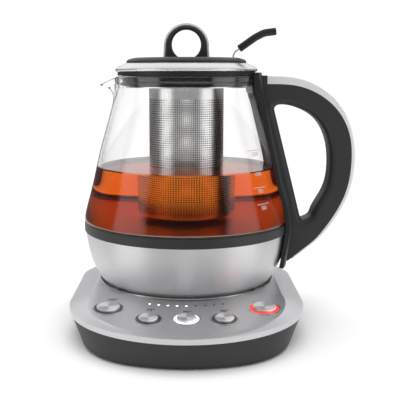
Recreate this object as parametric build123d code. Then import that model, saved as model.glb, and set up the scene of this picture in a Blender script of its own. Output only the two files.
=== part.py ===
from build123d import *

import os
from math import asin, atan2, cos, degrees, radians, sin, tan

# Automatic tea maker: a glass jug with a steel bowl, an infuser hung under its lid, and a heated power base.
# Millimetres. +Z is up, the jug's axis is the Z axis, the handle is towards +X, the buttons towards -Y,
# and the surface that the base stands on is z = 0.

# ---------------------------------------------------------------- driving dimensions
FIT = 0.3              # clearance between pieces that move, and round loosely fitted ones
SEAT_FIT = 0.05        # clearance of a piece pushed into its seat
WALL = 2.5             # moulded walls
SHEET = 1.0            # pressed steel
PAST = 1.0             # how far a cutting shape runs past what it cuts
BEYOND = 200.0         # further from the axis than anything
SMALL_SCREW_R = 1.15
SMALL_HEAD_R = 2.3
SMALL_HEAD = 1.4

# jug: radii follow the band between bowl and glass, and what sits on the neck follows the glass's top
BAND_R = 85.3
BAND_BOTTOM = 74.5
BAND_TOP = BAND_BOTTOM + 7.5
BAND_EDGE = 0.5
BAND_LEDGE = 3.0           # the plate rests on the band's inner ledge, this wide
GLASS_WALL = 2.3
GLASS_BOTTOM = BAND_TOP + 0.8
GLASS_TOP = 201.0
NECK_R = BAND_R - 28.3
# outer radius of the glass at each height, from its foot to its neck
GLASS_FORM = ((BAND_R - 0.2, GLASS_BOTTOM), (BAND_R - 1.0, 89.5), (BAND_R - 7.7, 114.4),
              (BAND_R - 13.4, 139.1), (BAND_R - 19.2, 159.5), (NECK_R + 2.6, GLASS_TOP - 19.0),
              (NECK_R, GLASS_TOP - 7.5), (NECK_R, GLASS_TOP))
SPOUT_TIP = NECK_R + 14.5  # how far the spout reaches from the axis
SPOUT_TIP_Z = GLASS_TOP - 7.4
SPOUT_ROOT_Z = GLASS_TOP - 30.0
SPOUT_HALF_WIDTH = 19.0
SPOUT_NOSE_R = 5.0
SPOUT_ROOT_R = NECK_R + 4.5
SPOUT_ROOT_HALF_WIDTH = 11.0
SPOUT_MIDDLE_HALF_WIDTH = 15.0
SPOUT_BACK = 30.0          # the spout's form starts this far from the axis, inside the jug
PLATE_R = BAND_R - 4.0
PLATE_TOP = BAND_TOP - 2.0
PLATE_THICK = 1.5
GASKET_LIP = 1.6           # the gasket's lip over the heating plate
# outer radius of the steel bowl at each height, from its rim to its flat bottom
BOWL_FORM = ((BAND_R - 0.9, BAND_BOTTOM), (BAND_R - 2.7, 62.2), (BAND_R - 6.4, 48.2),
             (BAND_R - 12.7, 36.6), (BAND_R - 21.3, 29.2))
BOWL_HOLE_R = BOWL_FORM[-1][0] - 6.0
FOOT_RING_R = BOWL_FORM[-1][0] - 1.0
FOOT_RING_WIDTH = 6.0
FOOT_RING_EDGE = 0.6
COVER_THICK = 2.2
COVER_HEAD_R = 2.8
COVER_HEAD = 1.5
ELEMENT_R = 55.0
ELEMENT_TUBE_R = 3.5
ELEMENT_GAP = 40.0         # angle between the element's two ends
CUTOUT_R = 9.0
CUTOUT_HEIGHT = 7.0
CUTOUT_NECK_R = 6.0
CUTOUT_NECK = 3.0
SENSOR_R = 4.0
SENSOR_HEIGHT = 9.0
SENSOR_TIP_R = 2.5
SENSOR_AT = 28.0
STUD_R = 3.0
STUD_BORE_R = 1.5
STUD_BORE_DEPTH = 11.0
STUD_CIRCLE = 38.0
STUD_COUNT = 3

# power base: the seat follows the bowl's foot, and the deck and plan follow the seat
SEAT_FLOOR_R = FOOT_RING_R + 3.0
SEAT_R = SEAT_FLOOR_R + 6.5    # edge of the dished seat
SEAT_FLOOR = 27.0
SEAT_EDGE = 1.0            # bright bevel round the seat
DECK_HALF_WIDTH = SEAT_R + SEAT_EDGE + 1.0     # the shoulder runs from the lip up to this edge
SHOULDER_WIDTH = 18.0
FRONT_SHOULDER = 5.0
BASE_HALF_WIDTH = DECK_HALF_WIDTH + SHOULDER_WIDTH     # also the radius of the round front
BASE_FRONT = -137.5
BASE_FRONT_CENTRE = BASE_FRONT + BASE_HALF_WIDTH
DECK_FRONT_CENTRE = BASE_FRONT + FRONT_SHOULDER + DECK_HALF_WIDTH
BASE_BACK = SEAT_R + SEAT_EDGE + 7.5
BASE_REAR_CORNER = 45.0
RIM_TOP = 24.0             # top of the silver lip
LIP_HEIGHT = 4.0
DECK_TOP = 33.3            # flat deck round the seat
FRONT_BEVEL_R = 157.5      # the shallow cone that trims the panel's front edge
FRONT_BEVEL_ANGLE = 14.0
PANEL_START = -60.0        # where the deck turns down into the button panel
PANEL_TILT = 6.4
PANEL_LENGTH = PANEL_START - BASE_FRONT
SHELL_INSET = 0.8
SHELL_BOTTOM = 1.0
SHELL_EDGE = 3.5           # rounding of the dark shell's bottom edge
# the dark shell draws in towards a squarer sole: a shallow front arc between two wide corners
SOLE_HALF_WIDTH = BASE_HALF_WIDTH - 14.5
SOLE_FRONT = BASE_FRONT + 3.5
SOLE_BACK = BASE_BACK - 7.0
SOLE_FRONT_R = 115.0
SOLE_CORNER = 56.0
SOLE_REAR_CORNER = 38.0
FOOT_INSET = 6.5           # the foot ring's edge, inside the sole
FOOT_WIDTH = 6.0
FOOT_HEIGHT = 2.0
SHELL_SCREW_X = 60.0
SHELL_SCREW_Y = (-46.0, 46.0)
SHELL_BOSS_R = 5.0
BOSS_R = 3.2
TONGUE_HEIGHT = 1.2        # the dark shell's tongue inside the silver lip
TONGUE_THICK = 1.5
POST_BORE_R = 1.2          # bores of the posts under the power board
POST_BORE_FLOOR = 2.5
SCREW_CLEAR = 0.1          # a screw in its clearance hole
SCREW_SINK = 1.0           # the base screws' heads lie this far above the shell's underside
SCREW_R = 2.0
SCREW_HEAD_R = 3.6
SCREW_HEAD = 2.0
SCREW_SLOT = 0.9

# 360 degree connector
PLUG_R = 15.0
PLUG_TOP = 41.0
PLUG_FLANGE_R = 21.0
PLUG_FLANGE = 3.0
PLUG_BOTTOM = 12.0
PLUG_EDGE = 1.0
SLOT_WIDTH = 1.8
SLOT_RADII = (7.8, 12.2)   # middle radii of the two contact slots
SLOT_DEPTH = 9.0
PIN_BORE_R = 3.2
PIN_GAP = 0.6
CONTACT = 1.0              # height of the contacts and thickness of the rings
SOCKET_WALL = 2.0
SOCKET_FLANGE = 3.0

# button panel: places are (across, down the slope from the panel's start)
SMALL_PITCH = 27.5
SMALL_DOWN = PANEL_LENGTH - 31.2
LARGE_ACROSS = DECK_HALF_WIDTH - 16.4
LARGE_DOWN = PANEL_LENGTH - 50.5
SMALL_CAP_R = 7.1
LARGE_CAP_R = 8.8
RING_WIDTH = 1.9           # translucent light ring round each cap
BEZEL_WIDTH = 0.9          # metal bezel round each light ring
RING_PROUD = 0.5
RING_DEPTH = 3.4
RING_FLANGE = 0.5
RING_EDGE = 0.4
BEZEL_LIP = 0.5            # the bezel's lip over the panel: its width and height
BEZEL_LIP_HEIGHT = 0.35
CAP_PROUD = 2.0
CAP_HEIGHT = 3.0
CAP_CONE = 0.35            # how far the spun cap is dished
CAP_CHAMFER = 0.5
STEM_R = 2.5
TRAVEL = 1.2
SWITCH = 6.0               # square tactile switch
SWITCH_HEIGHT = 3.5
PLUNGER_R = 1.7
PLUNGER = 1.0              # the switch's own plunger stands this far out of its body
BOARD_DEPTH = 12.0         # control board's top, below the panel
BOARD_THICK = 1.6
BOARD_HALF_WIDTH = 70.0
BOARD_TOP_EDGE = 12.0
BOARD_BOTTOM_EDGE = PANEL_LENGTH - 19.5
BOARD_CORNER = 6.0
BOARD_INSET = 14.0         # the board's edge, inside the base's plan
BOARD_SCREWS = [(side * 37.0, BOARD_TOP_EDGE + 6.0) for side in (-1, 1)]
BOARD_SCREWS += [(side * 43.5, BOARD_BOTTOM_EDGE - 11.0) for side in (-1, 1)]
LED_COUNT = 9
LED_PITCH = 6.95
LED_DOWN = PANEL_LENGTH - 54.5
LED_ARC_DROP = 4.0         # the row's ends rise by this much
LED_R = 1.0
LED_LENGTH = 4.5
LED_BAR = 4.0              # the light guide's bar under the lenses

# power electronics
POWER_BOARD = (72.0, 30.0)
POWER_BOARD_Y = 52.0
POWER_BOARD_Z = 9.0
POWER_SCREW_X = POWER_BOARD[0] / 2 - 5.0
RELAY = (19.0, 15.0, 10.0)
RELAY_X = -18.0
RELAY_EDGE = 0.6
TRANSFORMER = (22.0, 20.0, 9.0)
TRANSFORMER_X = 14.0
TRANSFORMER_EDGE = 1.2
INLET_R = 6.5
INLET_BORE_R = 3.6
INLET_Z = 12.0
INLET_LENGTH = 9.0
INLET_COLLAR = 1.5

# handle
SADDLE_THICK = 3.5
SADDLE_ANGLE = 42.0        # how far the saddle wraps round the glass
SADDLE_TOP = GLASS_TOP + 2.8
SADDLE_BOTTOM = 46.0
SKIRT_R = BAND_R - 4.6     # radius that the saddle's inside draws in to at its foot
HANDLE_HALF_WIDTH = 12.0
HANDLE_TOP = GLASS_TOP + 0.4
HANDLE_BOTTOM = 49.0
HANDLE_REACH = BAND_R + 53.1
SPINE_START = 50.0         # the spine's form starts this far from the axis, inside the glass
GAP_CORNER = 2.2
GROOVE_AT = 15.0           # the two grooves along the saddle, this far round from its middle
GROOVE_ANGLE = 1.6
GROOVE_DEPTH = 1.4
TRIM_TOP_THICK = 6.8
TRIM_THICK = 2.8
TRIM_END_THICK = 1.4
GRIP_ROUND = 5.0
TRIM_ROUND = 1.2
NECK_SCREW_Z = GLASS_TOP - 11.5
NECK_BORE_END = NECK_R + 19.0  # the handle screws' bores in the grip end this far from the axis
BOWL_BORE_END = BAND_R + 9.7
BOWL_SCREW_Z = 60.0
NECK_SCREW_LENGTH = 22.0
NECK_HEAD_R = 2.6
NECK_HEAD = 1.4
BOWL_SCREW_LENGTH = 13.2
PAD_ANGLE = 18.0
PAD_THICK = 3.6
PAD_HEIGHT = 5.6
PAD_CHAMFER = 1.5
PAD_GAP = 0.5              # the pad hangs this far under the gasket

# lid
CAP_R = NECK_R - 8.0
GASKET_RIM = 2.7           # the gasket's rim parts the glass's edge from the lid's steel
GASKET_RIM_R = NECK_R - 0.6
RIM_BOTTOM = GLASS_TOP + FIT + GASKET_RIM
CAP_TOP = RIM_BOTTOM + 11.5
CAP_EDGE = CAP_TOP - 2.6
CAP_BOTTOM = CAP_EDGE - 1.3
CAP_FLAT_R = CAP_R - 6.0
CAP_ROUND = 1.6            # the steep part of the cap's edge
RIM_OUTER_R = NECK_R + 1.2
RIM_WIDEST_Z = RIM_BOTTOM + 2.2
RIM_INNER_R = CAP_R - 3.0
RIM_SHEET = 1.2
HUB_BOTTOM = CAP_BOTTOM - 6.2
LIP_R = NECK_R - GLASS_WALL - FIT
LIP_LEVELS = (GLASS_TOP - 2.1, GLASS_TOP - 6.4)   # heights of the gasket's two lips
LIP_THICK = 1.8
LIP_DEPTH = 2.0
GASKET_BOTTOM = GLASS_TOP - 8.1
PLUG_WALL = 2.0
COLLAR_R = 28.6
COLLAR_BOTTOM = GLASS_TOP - 15.0
LUG_REACH = 1.1
LUG_HEIGHT = 1.8
LUG_ANGLE = 24.0
LUG_COUNT = 3
LOOP_R = 16.8
LOOP_CENTRE = CAP_TOP + 9.3
LOOP_HOLE_R = 11.9
LOOP_HOLE_Z = LOOP_CENTRE + 1.5
LOOP_THICK = 11.0
LOOP_EDGE = 1.2
LOOP_TRIM = 1.5
LOOP_TRIM_WIDTH = 8.6
LOOP_SPREAD = 0.5          # each leg stands out by this much at its foot
LOOP_BORE = 5.0
LID_HEAD_R = 2.6
LID_HEAD_SINK = 1.5

# lever on the lid
LEVER_X = CAP_R - 11.0
LEVER_Z = CAP_TOP - 5.1
LEVER_ANGLE = 20.0
WIRE_R = 0.8
BARREL_R = 2.3
BARREL_LENGTH = 7.0
PIN_R = 1.0
PIN_LENGTH = 13.0
POCKET_ROOF = CAP_TOP - 1.8
POCKET_WIDTH = 6.4
GRIP_R = 3.0
SPRING_WIDTH = 1.1
BEND_R = 14.0
WIRE_BEND_R = 4.5
WIRE_SHORT = 2.0           # the wire ends this far inside the grip

# infuser
INFUSER_R = COLLAR_R + 2.1
INFUSER_WALL = 0.6
INFUSER_TOP = GASKET_BOTTOM - 0.4
INFUSER_BOTTOM = PLATE_TOP + 4.5
FLANGE_R = CAP_R + 0.6
FLANGE_THICK = 0.9
TAB_THICK = 1.2


# ---------------------------------------------------------------- shared shapes
def xz(points):
    return [(x, 0, z) for x, z in points]


def disc(radius, low, high):
    return extrude(Pos(0, 0, low) * Circle(radius), high - low)


def ring(outer, inner, low, high):
    return disc(outer, low, high) - disc(inner, low - 1, high + 1)


def turned(points, angle=360.0):
    """A solid of revolution about Z from (radius, height) points, centred on +X when it is a part turn."""
    face = make_face(Polyline(*xz(points), close=True))
    solid = revolve(face, Axis.Z, angle)
    return Rot(0, 0, -angle / 2) * solid if angle < 360 else solid


def around(solid, count, start=0.0):
    return [Rot(0, 0, start + 360.0 * k / count) * solid for k in range(count)]


def group(solids):
    return Compound(children=[part if isinstance(part, Solid) else part.solids()[0] for part in solids])


def radial_rod(radius, start, end, z):
    """A round bar along +X at height z."""
    return Pos(start, 0, z) * Rot(0, 90, 0) * extrude(Circle(radius), end - start)


# ---------------------------------------------------------------- power base forms
def outline(half, front, back, corner):
    """A level face: front arcs as (centre, radius, start, sweep), straight sides, rounded rear corners."""
    side_end = front[-1][0][1]
    edges = [CenterArc(*arc) for arc in front] + [
        Line((half, side_end), (half, back - corner)),
        CenterArc((half - corner, back - corner), corner, 0, 90),
        Line((half - corner, back), (corner - half, back)),
        CenterArc((corner - half, back - corner), corner, 90, 90),
        Line((-half, back - corner), (-half, side_end)),
    ]
    return make_face(edges)


def plan(inset):
    """The base's plan, drawn in by inset."""
    half = BASE_HALF_WIDTH - inset
    front = [((0, BASE_FRONT_CENTRE), half, 180, 180)]
    return outline(half, front, BASE_BACK - inset, BASE_REAR_CORNER - inset)


def deck_plan(inset):
    """The edge of the deck and panel, where the shoulder ends, drawn in by inset."""
    inward = SHOULDER_WIDTH + inset
    half = DECK_HALF_WIDTH - inset
    front = [((0, DECK_FRONT_CENTRE), half, 180, 180)]
    return outline(half, front, BASE_BACK - inward, BASE_REAR_CORNER - inward)


SOLE_CORNER_X = SOLE_HALF_WIDTH - SOLE_CORNER
SOLE_SWEEP = degrees(asin(SOLE_CORNER_X / (SOLE_FRONT_R - SOLE_CORNER)))     # half the front arc's angle
SOLE_FRONT_CENTRE = SOLE_FRONT + SOLE_FRONT_R
SOLE_CORNER_Y = SOLE_FRONT_CENTRE - (SOLE_FRONT_R - SOLE_CORNER) * cos(radians(SOLE_SWEEP))


def split_front(centres, radii):
    """Front arcs that meet at the sole's angles, so that one plan can be lofted into another."""
    sweeps = ((180, 90 - SOLE_SWEEP), (270 - SOLE_SWEEP, 2 * SOLE_SWEEP), (270 + SOLE_SWEEP, 90 - SOLE_SWEEP))
    return [(centre, radius, *sweep) for centre, radius, sweep in zip(centres, radii, sweeps)]


def shell_rim(inset):
    """The base's plan again, with its front split for the loft."""
    half = BASE_HALF_WIDTH - inset
    front = split_front(3 * [(0, BASE_FRONT_CENTRE)], 3 * [half])
    return outline(half, front, BASE_BACK - inset, BASE_REAR_CORNER - inset)


def sole(inset):
    """The dark shell's plan at the floor, drawn in by inset."""
    centres = [(-SOLE_CORNER_X, SOLE_CORNER_Y), (0, SOLE_FRONT_CENTRE), (SOLE_CORNER_X, SOLE_CORNER_Y)]
    radii = [SOLE_CORNER - inset, SOLE_FRONT_R - inset, SOLE_CORNER - inset]
    front = split_front(centres, radii)
    return outline(SOLE_HALF_WIDTH - inset, front, SOLE_BACK - inset, SOLE_REAR_CORNER - inset)


def panel_plane(depth=0.0):
    """The button panel's plane, or one parallel to it at a depth below it."""
    slope = radians(PANEL_TILT)
    normal = Vector(0, -sin(slope), cos(slope))
    return Plane(origin=Vector(0, PANEL_START, DECK_TOP) - normal * depth, x_dir=(1, 0, 0), z_dir=normal)


def on_panel(across, down, depth=0.0):
    return panel_plane(depth) * Pos(across, -down, 0)


def top_form(inset):
    """The top shell's outer form, drawn in on every side by inset."""
    low = RIM_TOP - inset
    lip = extrude(Pos(0, 0, low - LIP_HEIGHT) * plan(inset), LIP_HEIGHT)
    edges = [Pos(0, 0, low) * plan(inset), Pos(0, 0, DECK_TOP - inset) * deck_plan(inset)]
    shoulder = loft(edges, ruled=True)
    on_its_foot = (Align.CENTER, Align.CENTER, Align.MIN)
    ahead = panel_plane(inset) * Box(2 * BEYOND, 2 * BEYOND, DECK_TOP, align=on_its_foot)
    wide = FRONT_BEVEL_R - inset
    rise = DECK_TOP - RIM_TOP + PAST
    narrow = wide - rise / tan(radians(FRONT_BEVEL_ANGLE))
    cone = Pos(0, BASE_FRONT + FRONT_BEVEL_R, low) * Cone(wide, narrow, rise, align=on_its_foot)
    return lip + ((shoulder - ahead) & cone)


def seat_profile(drop):
    """The dished seat as a solid, drop below its surface."""
    low = SEAT_FLOOR - drop
    edge = SEAT_R + SEAT_EDGE
    top = DECK_TOP + PAST
    return turned([(0, low), (SEAT_FLOOR_R, low), (SEAT_R, DECK_TOP - SEAT_EDGE - drop),
                   (edge, DECK_TOP - drop), (edge, top), (0, top)])


BUTTONS = {
    "hot_water": (-LARGE_ACROSS, LARGE_DOWN, LARGE_CAP_R),
    "green_tea": (-SMALL_PITCH, SMALL_DOWN, SMALL_CAP_R),
    "black_tea": (0.0, SMALL_DOWN, SMALL_CAP_R),
    "oolong_tea": (SMALL_PITCH, SMALL_DOWN, SMALL_CAP_R),
    "start": (LARGE_ACROSS, LARGE_DOWN, LARGE_CAP_R),
}
LED_SPAN = LED_PITCH * (LED_COUNT - 1) / 2
LED_PLACES = [k * LED_PITCH - LED_SPAN for k in range(LED_COUNT)]
LEDS = [(across, LED_DOWN - LED_ARC_DROP * (across / LED_SPAN) ** 2) for across in LED_PLACES]
SHELL_SCREWS = [(x, y) for x in (-SHELL_SCREW_X, SHELL_SCREW_X) for y in SHELL_SCREW_Y]


def upright(x, y, low, radius, high):
    """A round post or bore along Z between two heights."""
    return Pos(x, y, low) * extrude(Circle(radius), high - low)


def base_top_shell():
    outer = top_form(0)
    low = RIM_TOP - LIP_HEIGHT
    hollow = top_form(WALL) + extrude(Pos(0, 0, low - PAST) * plan(WALL), RIM_TOP - WALL - low + PAST)
    shell = outer - hollow
    pan = outer & seat_profile(WALL)
    shell = shell + pan - seat_profile(0)
    shell -= disc(PLUG_R + SEAT_FIT, SEAT_FLOOR - 2 * WALL, SEAT_FLOOR + PAST)
    for across, down, cap in BUTTONS.values():
        hole = Circle(cap + FIT + RING_WIDTH + BEZEL_WIDTH)
        shell -= on_panel(across, down, WALL + PAST) * extrude(hole, 2 * WALL)
    for across, down in LEDS:
        shell -= on_panel(across, down, WALL + PAST) * extrude(Circle(LED_R + SEAT_FIT), 2 * WALL)
    for x, y in SHELL_SCREWS:
        shell += upright(x, y, low, SHELL_BOSS_R, DECK_TOP) & outer
        shell -= upright(x, y, 0, SCREW_R, RIM_TOP + WALL + SEAT_FIT)
    for across, down in BOARD_SCREWS:
        foot = on_panel(across, down, BOARD_DEPTH)
        shell += foot * extrude(Circle(BOSS_R), BOARD_DEPTH - WALL + 0.5)
        shell -= foot * extrude(Circle(SMALL_SCREW_R + SEAT_FIT), BOARD_DEPTH - WALL - PAST)
    return shell


def base_lower_shell():
    top = RIM_TOP - LIP_HEIGHT
    floor = SHELL_BOTTOM + WALL
    ends = [Pos(0, 0, SHELL_BOTTOM) * sole(0), Pos(0, 0, top) * shell_rim(SHELL_INSET)]
    outer = loft(ends, ruled=True)
    outer = fillet(outer.faces().sort_by(Axis.Z)[0].edges(), SHELL_EDGE)
    hollow = loft([Pos(0, 0, floor) * sole(WALL),
                   Pos(0, 0, top + PAST) * shell_rim(SHELL_INSET + WALL)], ruled=True)
    tongue = extrude(Pos(0, 0, top - WALL) * plan(SHELL_INSET + WALL), WALL + TONGUE_HEIGHT)
    tongue -= extrude(Pos(0, 0, top - 2 * WALL) * plan(SHELL_INSET + WALL + TONGUE_THICK), 4 * WALL)
    shell = outer - hollow + tongue
    shell -= foot_ring()
    inside = SHELL_BOTTOM + SHEET
    for x, y in SHELL_SCREWS:
        shell += upright(x, y, inside, SHELL_BOSS_R, top)
        shell -= upright(x, y, 0, SCREW_R + SCREW_CLEAR, top + PAST)
        shell -= upright(x, y, 0, SCREW_HEAD_R + 2 * SCREW_CLEAR, SHELL_BOTTOM + SCREW_HEAD + SCREW_SINK)
    for x in (-POWER_SCREW_X, POWER_SCREW_X):
        shell += upright(x, POWER_BOARD_Y, inside, BOSS_R, POWER_BOARD_Z)
        shell -= upright(x, POWER_BOARD_Y, inside + POST_BORE_FLOOR, POST_BORE_R, POWER_BOARD_Z + PAST)
    shell -= inlet_rod(INLET_R + SEAT_FIT, -2 * WALL, 2 * WALL)
    return shell


def foot_ring():
    band = extrude(sole(FOOT_INSET), FOOT_HEIGHT)
    return band - extrude(Pos(0, 0, -PAST) * sole(FOOT_INSET + FOOT_WIDTH), FOOT_HEIGHT + 2 * PAST)


def screw(length, head_up=True, shank=SCREW_R, head=SCREW_HEAD_R, height=SCREW_HEAD):
    """A screw along Z: the shank runs from z = 0 down by length, or up if the head is below."""
    sign = 1 if head_up else -1
    body = Pos(0, 0, -length if head_up else 0) * extrude(Circle(shank), length)
    cap = Pos(0, 0, 0 if head_up else -height) * extrude(Circle(head), height)
    arm = 1.2 * head
    cross = Pos(0, 0, sign * height) * (Box(arm, SCREW_SLOT, height) + Box(SCREW_SLOT, arm, height))
    return body + cap - cross


def small_screw(length, head_up=True):
    return screw(length, head_up, SMALL_SCREW_R, SMALL_HEAD_R, SMALL_HEAD)


def base_screws():
    seat = SHELL_BOTTOM + SCREW_HEAD + SCREW_SINK
    one = screw(RIM_TOP - 1.5 - seat, head_up=False, shank=SCREW_R - SEAT_FIT)
    return group([Pos(x, y, seat) * one for x, y in SHELL_SCREWS])


def inlet_plane():
    """The plane of the leaning rear wall's outer face where the inlet bush sits."""
    height = RIM_TOP - LIP_HEIGHT - SHELL_BOTTOM
    lean = (BASE_BACK - SHELL_INSET - SOLE_BACK) / height
    wall_y = SOLE_BACK + (INLET_Z - SHELL_BOTTOM) * lean
    return Plane(origin=(0, wall_y, INLET_Z), x_dir=(1, 0, 0), z_dir=(0, 1, -lean))


def inlet_rod(radius, start, end):
    return inlet_plane() * Pos(0, 0, start) * extrude(Circle(radius), end - start)


def cord_inlet():
    """A bush in the rear wall that the supply enters by, with a collar outside."""
    bush = inlet_rod(INLET_R, INLET_COLLAR - INLET_LENGTH, INLET_COLLAR)
    bush += inlet_rod(INLET_R + INLET_COLLAR, 0, INLET_COLLAR)
    return bush - inlet_rod(INLET_BORE_R, -INLET_LENGTH, INLET_LENGTH)


# ---------------------------------------------------------------- connector
def slots(width, low, high):
    return [ring(r + width / 2, r - width / 2, low, high) for r in SLOT_RADII]


def base_connector_housing():
    floor = SEAT_FLOOR - WALL
    body = disc(PLUG_R, PLUG_BOTTOM, PLUG_TOP) + disc(PLUG_FLANGE_R, floor - PLUG_FLANGE, floor)
    body = chamfer(body.faces().sort_by(Axis.Z)[-1].edges(), PLUG_EDGE)
    for slot in slots(SLOT_WIDTH, PLUG_TOP - SLOT_DEPTH, PLUG_TOP + PAST):
        body -= slot
    return body - disc(PIN_BORE_R, PLUG_TOP - SLOT_DEPTH, PLUG_TOP + PAST)


def base_connector_contacts():
    low = PLUG_TOP - SLOT_DEPTH
    pads = slots(SLOT_WIDTH - 2 * SEAT_FIT, low, low + CONTACT)
    return group(pads + [disc(PIN_BORE_R - SEAT_FIT, low, low + CONTACT)])


SOCKET_R = PLUG_R + FIT
SOCKET_ROOF = PLUG_TOP + PAST
SOCKET_OUTER_R = SOCKET_R + SOCKET_WALL
SOCKET_FLANGE_R = SOCKET_OUTER_R + SOCKET_FLANGE
SOCKET_LIP_Z = SEAT_FLOOR + 3.0


def jug_connector_body():
    body = disc(SOCKET_OUTER_R, SOCKET_LIP_Z, SOCKET_ROOF + SOCKET_WALL)
    body += disc(SOCKET_FLANGE_R, SOCKET_ROOF, SOCKET_ROOF + SOCKET_WALL)
    body -= disc(SOCKET_R, SOCKET_LIP_Z - PAST, SOCKET_ROOF)
    for blade in slots(CONTACT + 2 * SEAT_FIT, SOCKET_ROOF - PAST, SOCKET_ROOF + CONTACT):
        body -= blade
    return body - disc(PIN_BORE_R - PIN_GAP + SEAT_FIT, SOCKET_ROOF - PAST, SOCKET_ROOF + CONTACT)


def jug_connector_rings():
    low = PLUG_TOP - SLOT_DEPTH + CONTACT + FIT
    high = SOCKET_ROOF + CONTACT
    return group(slots(CONTACT, low, high) + [disc(PIN_BORE_R - PIN_GAP, low, high)])


# ---------------------------------------------------------------- buttons and electronics
def light_ring(name):
    across, down, cap = BUTTONS[name]
    inner = cap + FIT
    outer = inner + RING_WIDTH
    body = extrude(Circle(outer), RING_DEPTH + RING_PROUD)
    body = chamfer(body.faces().sort_by(Axis.Z)[-1].edges(), RING_EDGE)
    body += extrude(Circle(outer + BEZEL_WIDTH + RING_FLANGE), RING_DEPTH - WALL)
    body -= Pos(0, 0, RING_FLANGE) * extrude(Circle(inner), RING_DEPTH + PAST)
    body -= Pos(0, 0, -PAST) * extrude(Circle(STEM_R + FIT), RING_FLANGE + 2 * PAST)
    return on_panel(across, down, RING_DEPTH) * body


def button_bezels():
    solids = []
    for across, down, cap in BUTTONS.values():
        inner = cap + FIT + RING_WIDTH + SEAT_FIT
        outer = inner + BEZEL_WIDTH - 2 * SEAT_FIT
        sleeve = extrude(Circle(outer) - Circle(inner), WALL)
        lip = extrude(Circle(outer + BEZEL_LIP) - Circle(inner), BEZEL_LIP_HEIGHT)
        solids.append(on_panel(across, down, WALL) * (sleeve + Pos(0, 0, WALL) * lip))
    return group(solids)


def button_cap(name):
    """A spun metal cap with a shallow cone in its top and a short skirt."""
    across, down, cap = BUTTONS[name]
    land = cap - CAP_CHAMFER
    profile = [(0, 0), (cap, 0), (cap, CAP_HEIGHT - CAP_CHAMFER), (land, CAP_HEIGHT),
               (land - CAP_CHAMFER, CAP_HEIGHT), (0, CAP_HEIGHT - CAP_CONE)]
    return on_panel(across, down, CAP_HEIGHT - CAP_PROUD) * turned(profile)


def button_stem(name):
    """The plunger under a cap: a collar against the cap and a rod that ends just above its switch."""
    across, down, cap = BUTTONS[name]
    end = BOARD_DEPTH - SWITCH_HEIGHT - TRAVEL - SCREW_CLEAR
    start = CAP_HEIGHT - CAP_PROUD
    return on_panel(across, down, end) * extrude(Circle(STEM_R), end - start)


def control_board():
    height = BOARD_BOTTOM_EDGE - BOARD_TOP_EDGE
    middle = (BOARD_BOTTOM_EDGE + BOARD_TOP_EDGE) / 2
    blank = RectangleRounded(2 * BOARD_HALF_WIDTH, height, BOARD_CORNER)
    plate = Pos(0, -middle, -BOARD_THICK) * extrude(blank, BOARD_THICK)
    for across, down in BOARD_SCREWS:
        plate -= upright(across, -down, -BOARD_THICK - PAST, SMALL_SCREW_R + FIT, PAST)
    return panel_plane(BOARD_DEPTH) * plate & extrude(plan(BOARD_INSET), DECK_TOP)


def tactile_switches():
    solids = []
    for across, down, cap in BUTTONS.values():
        body = extrude(Rectangle(SWITCH, SWITCH), SWITCH_HEIGHT - PLUNGER)
        body += extrude(Circle(PLUNGER_R), SWITCH_HEIGHT)
        solids.append(on_panel(across, down, BOARD_DEPTH) * body)
    return group(solids)


def board_screws():
    long = Rot(180, 0, 0) * small_screw(BOARD_THICK + 6)
    short = small_screw(BOARD_THICK + 4)
    control = [on_panel(across, down, BOARD_DEPTH + BOARD_THICK) * long for across, down in BOARD_SCREWS]
    top = POWER_BOARD_Z + BOARD_THICK
    power = [Pos(x, POWER_BOARD_Y, top) * short for x in (-POWER_SCREW_X, POWER_SCREW_X)]
    return group(control + power)


def indicator_lenses():
    """One moulded light guide: nine tips in the panel, a bar that joins them, and two legs on the board."""
    low = min(down for across, down in LEDS) - LED_BAR / 2
    high = max(down for across, down in LEDS) + LED_BAR / 2
    middle = Pos(0, -(low + high) / 2, 0)
    guide = middle * Pos(0, 0, -LED_LENGTH - LED_BAR / 2) * extrude(
        Rectangle(2 * LED_SPAN + 2 * LED_BAR, high - low), LED_BAR / 2)
    for across, down in LEDS:
        guide += Pos(across, -down, -LED_LENGTH) * extrude(Circle(LED_R), LED_LENGTH)
    for side in (-1, 1):
        leg = extrude(Rectangle(LED_BAR / 2, high - low), BOARD_DEPTH - LED_LENGTH)
        guide += middle * Pos(side * LED_SPAN, 0, -BOARD_DEPTH) * leg
    return panel_plane() * guide


def power_board():
    plate = Pos(0, POWER_BOARD_Y, POWER_BOARD_Z) * extrude(RectangleRounded(*POWER_BOARD, WALL), BOARD_THICK)
    top = POWER_BOARD_Z + BOARD_THICK
    for x in (-POWER_SCREW_X, POWER_SCREW_X):
        plate -= upright(x, POWER_BOARD_Y, POWER_BOARD_Z - PAST, SMALL_SCREW_R + FIT, top + PAST)
    return plate


def on_power_board(x, size, edge):
    width, depth, height = size
    block = Box(width, depth, height, align=(Align.CENTER, Align.CENTER, Align.MIN))
    block = chamfer(block.faces().sort_by(Axis.Z)[-1].edges(), edge)
    return Pos(x, POWER_BOARD_Y, POWER_BOARD_Z + BOARD_THICK) * block


# ---------------------------------------------------------------- jug forms
def glass_profile(inset):
    """Edges of the glass's outer line in the XZ plane, drawn in by inset, with its foot first."""
    points = [(r - inset, 0, z) for r, z in GLASS_FORM]
    curve = Spline(*points[:-1], tangents=((-0.15, 0, 1), (0, 0, 1)))
    return [curve, Line(points[-2], points[-1])]


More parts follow.
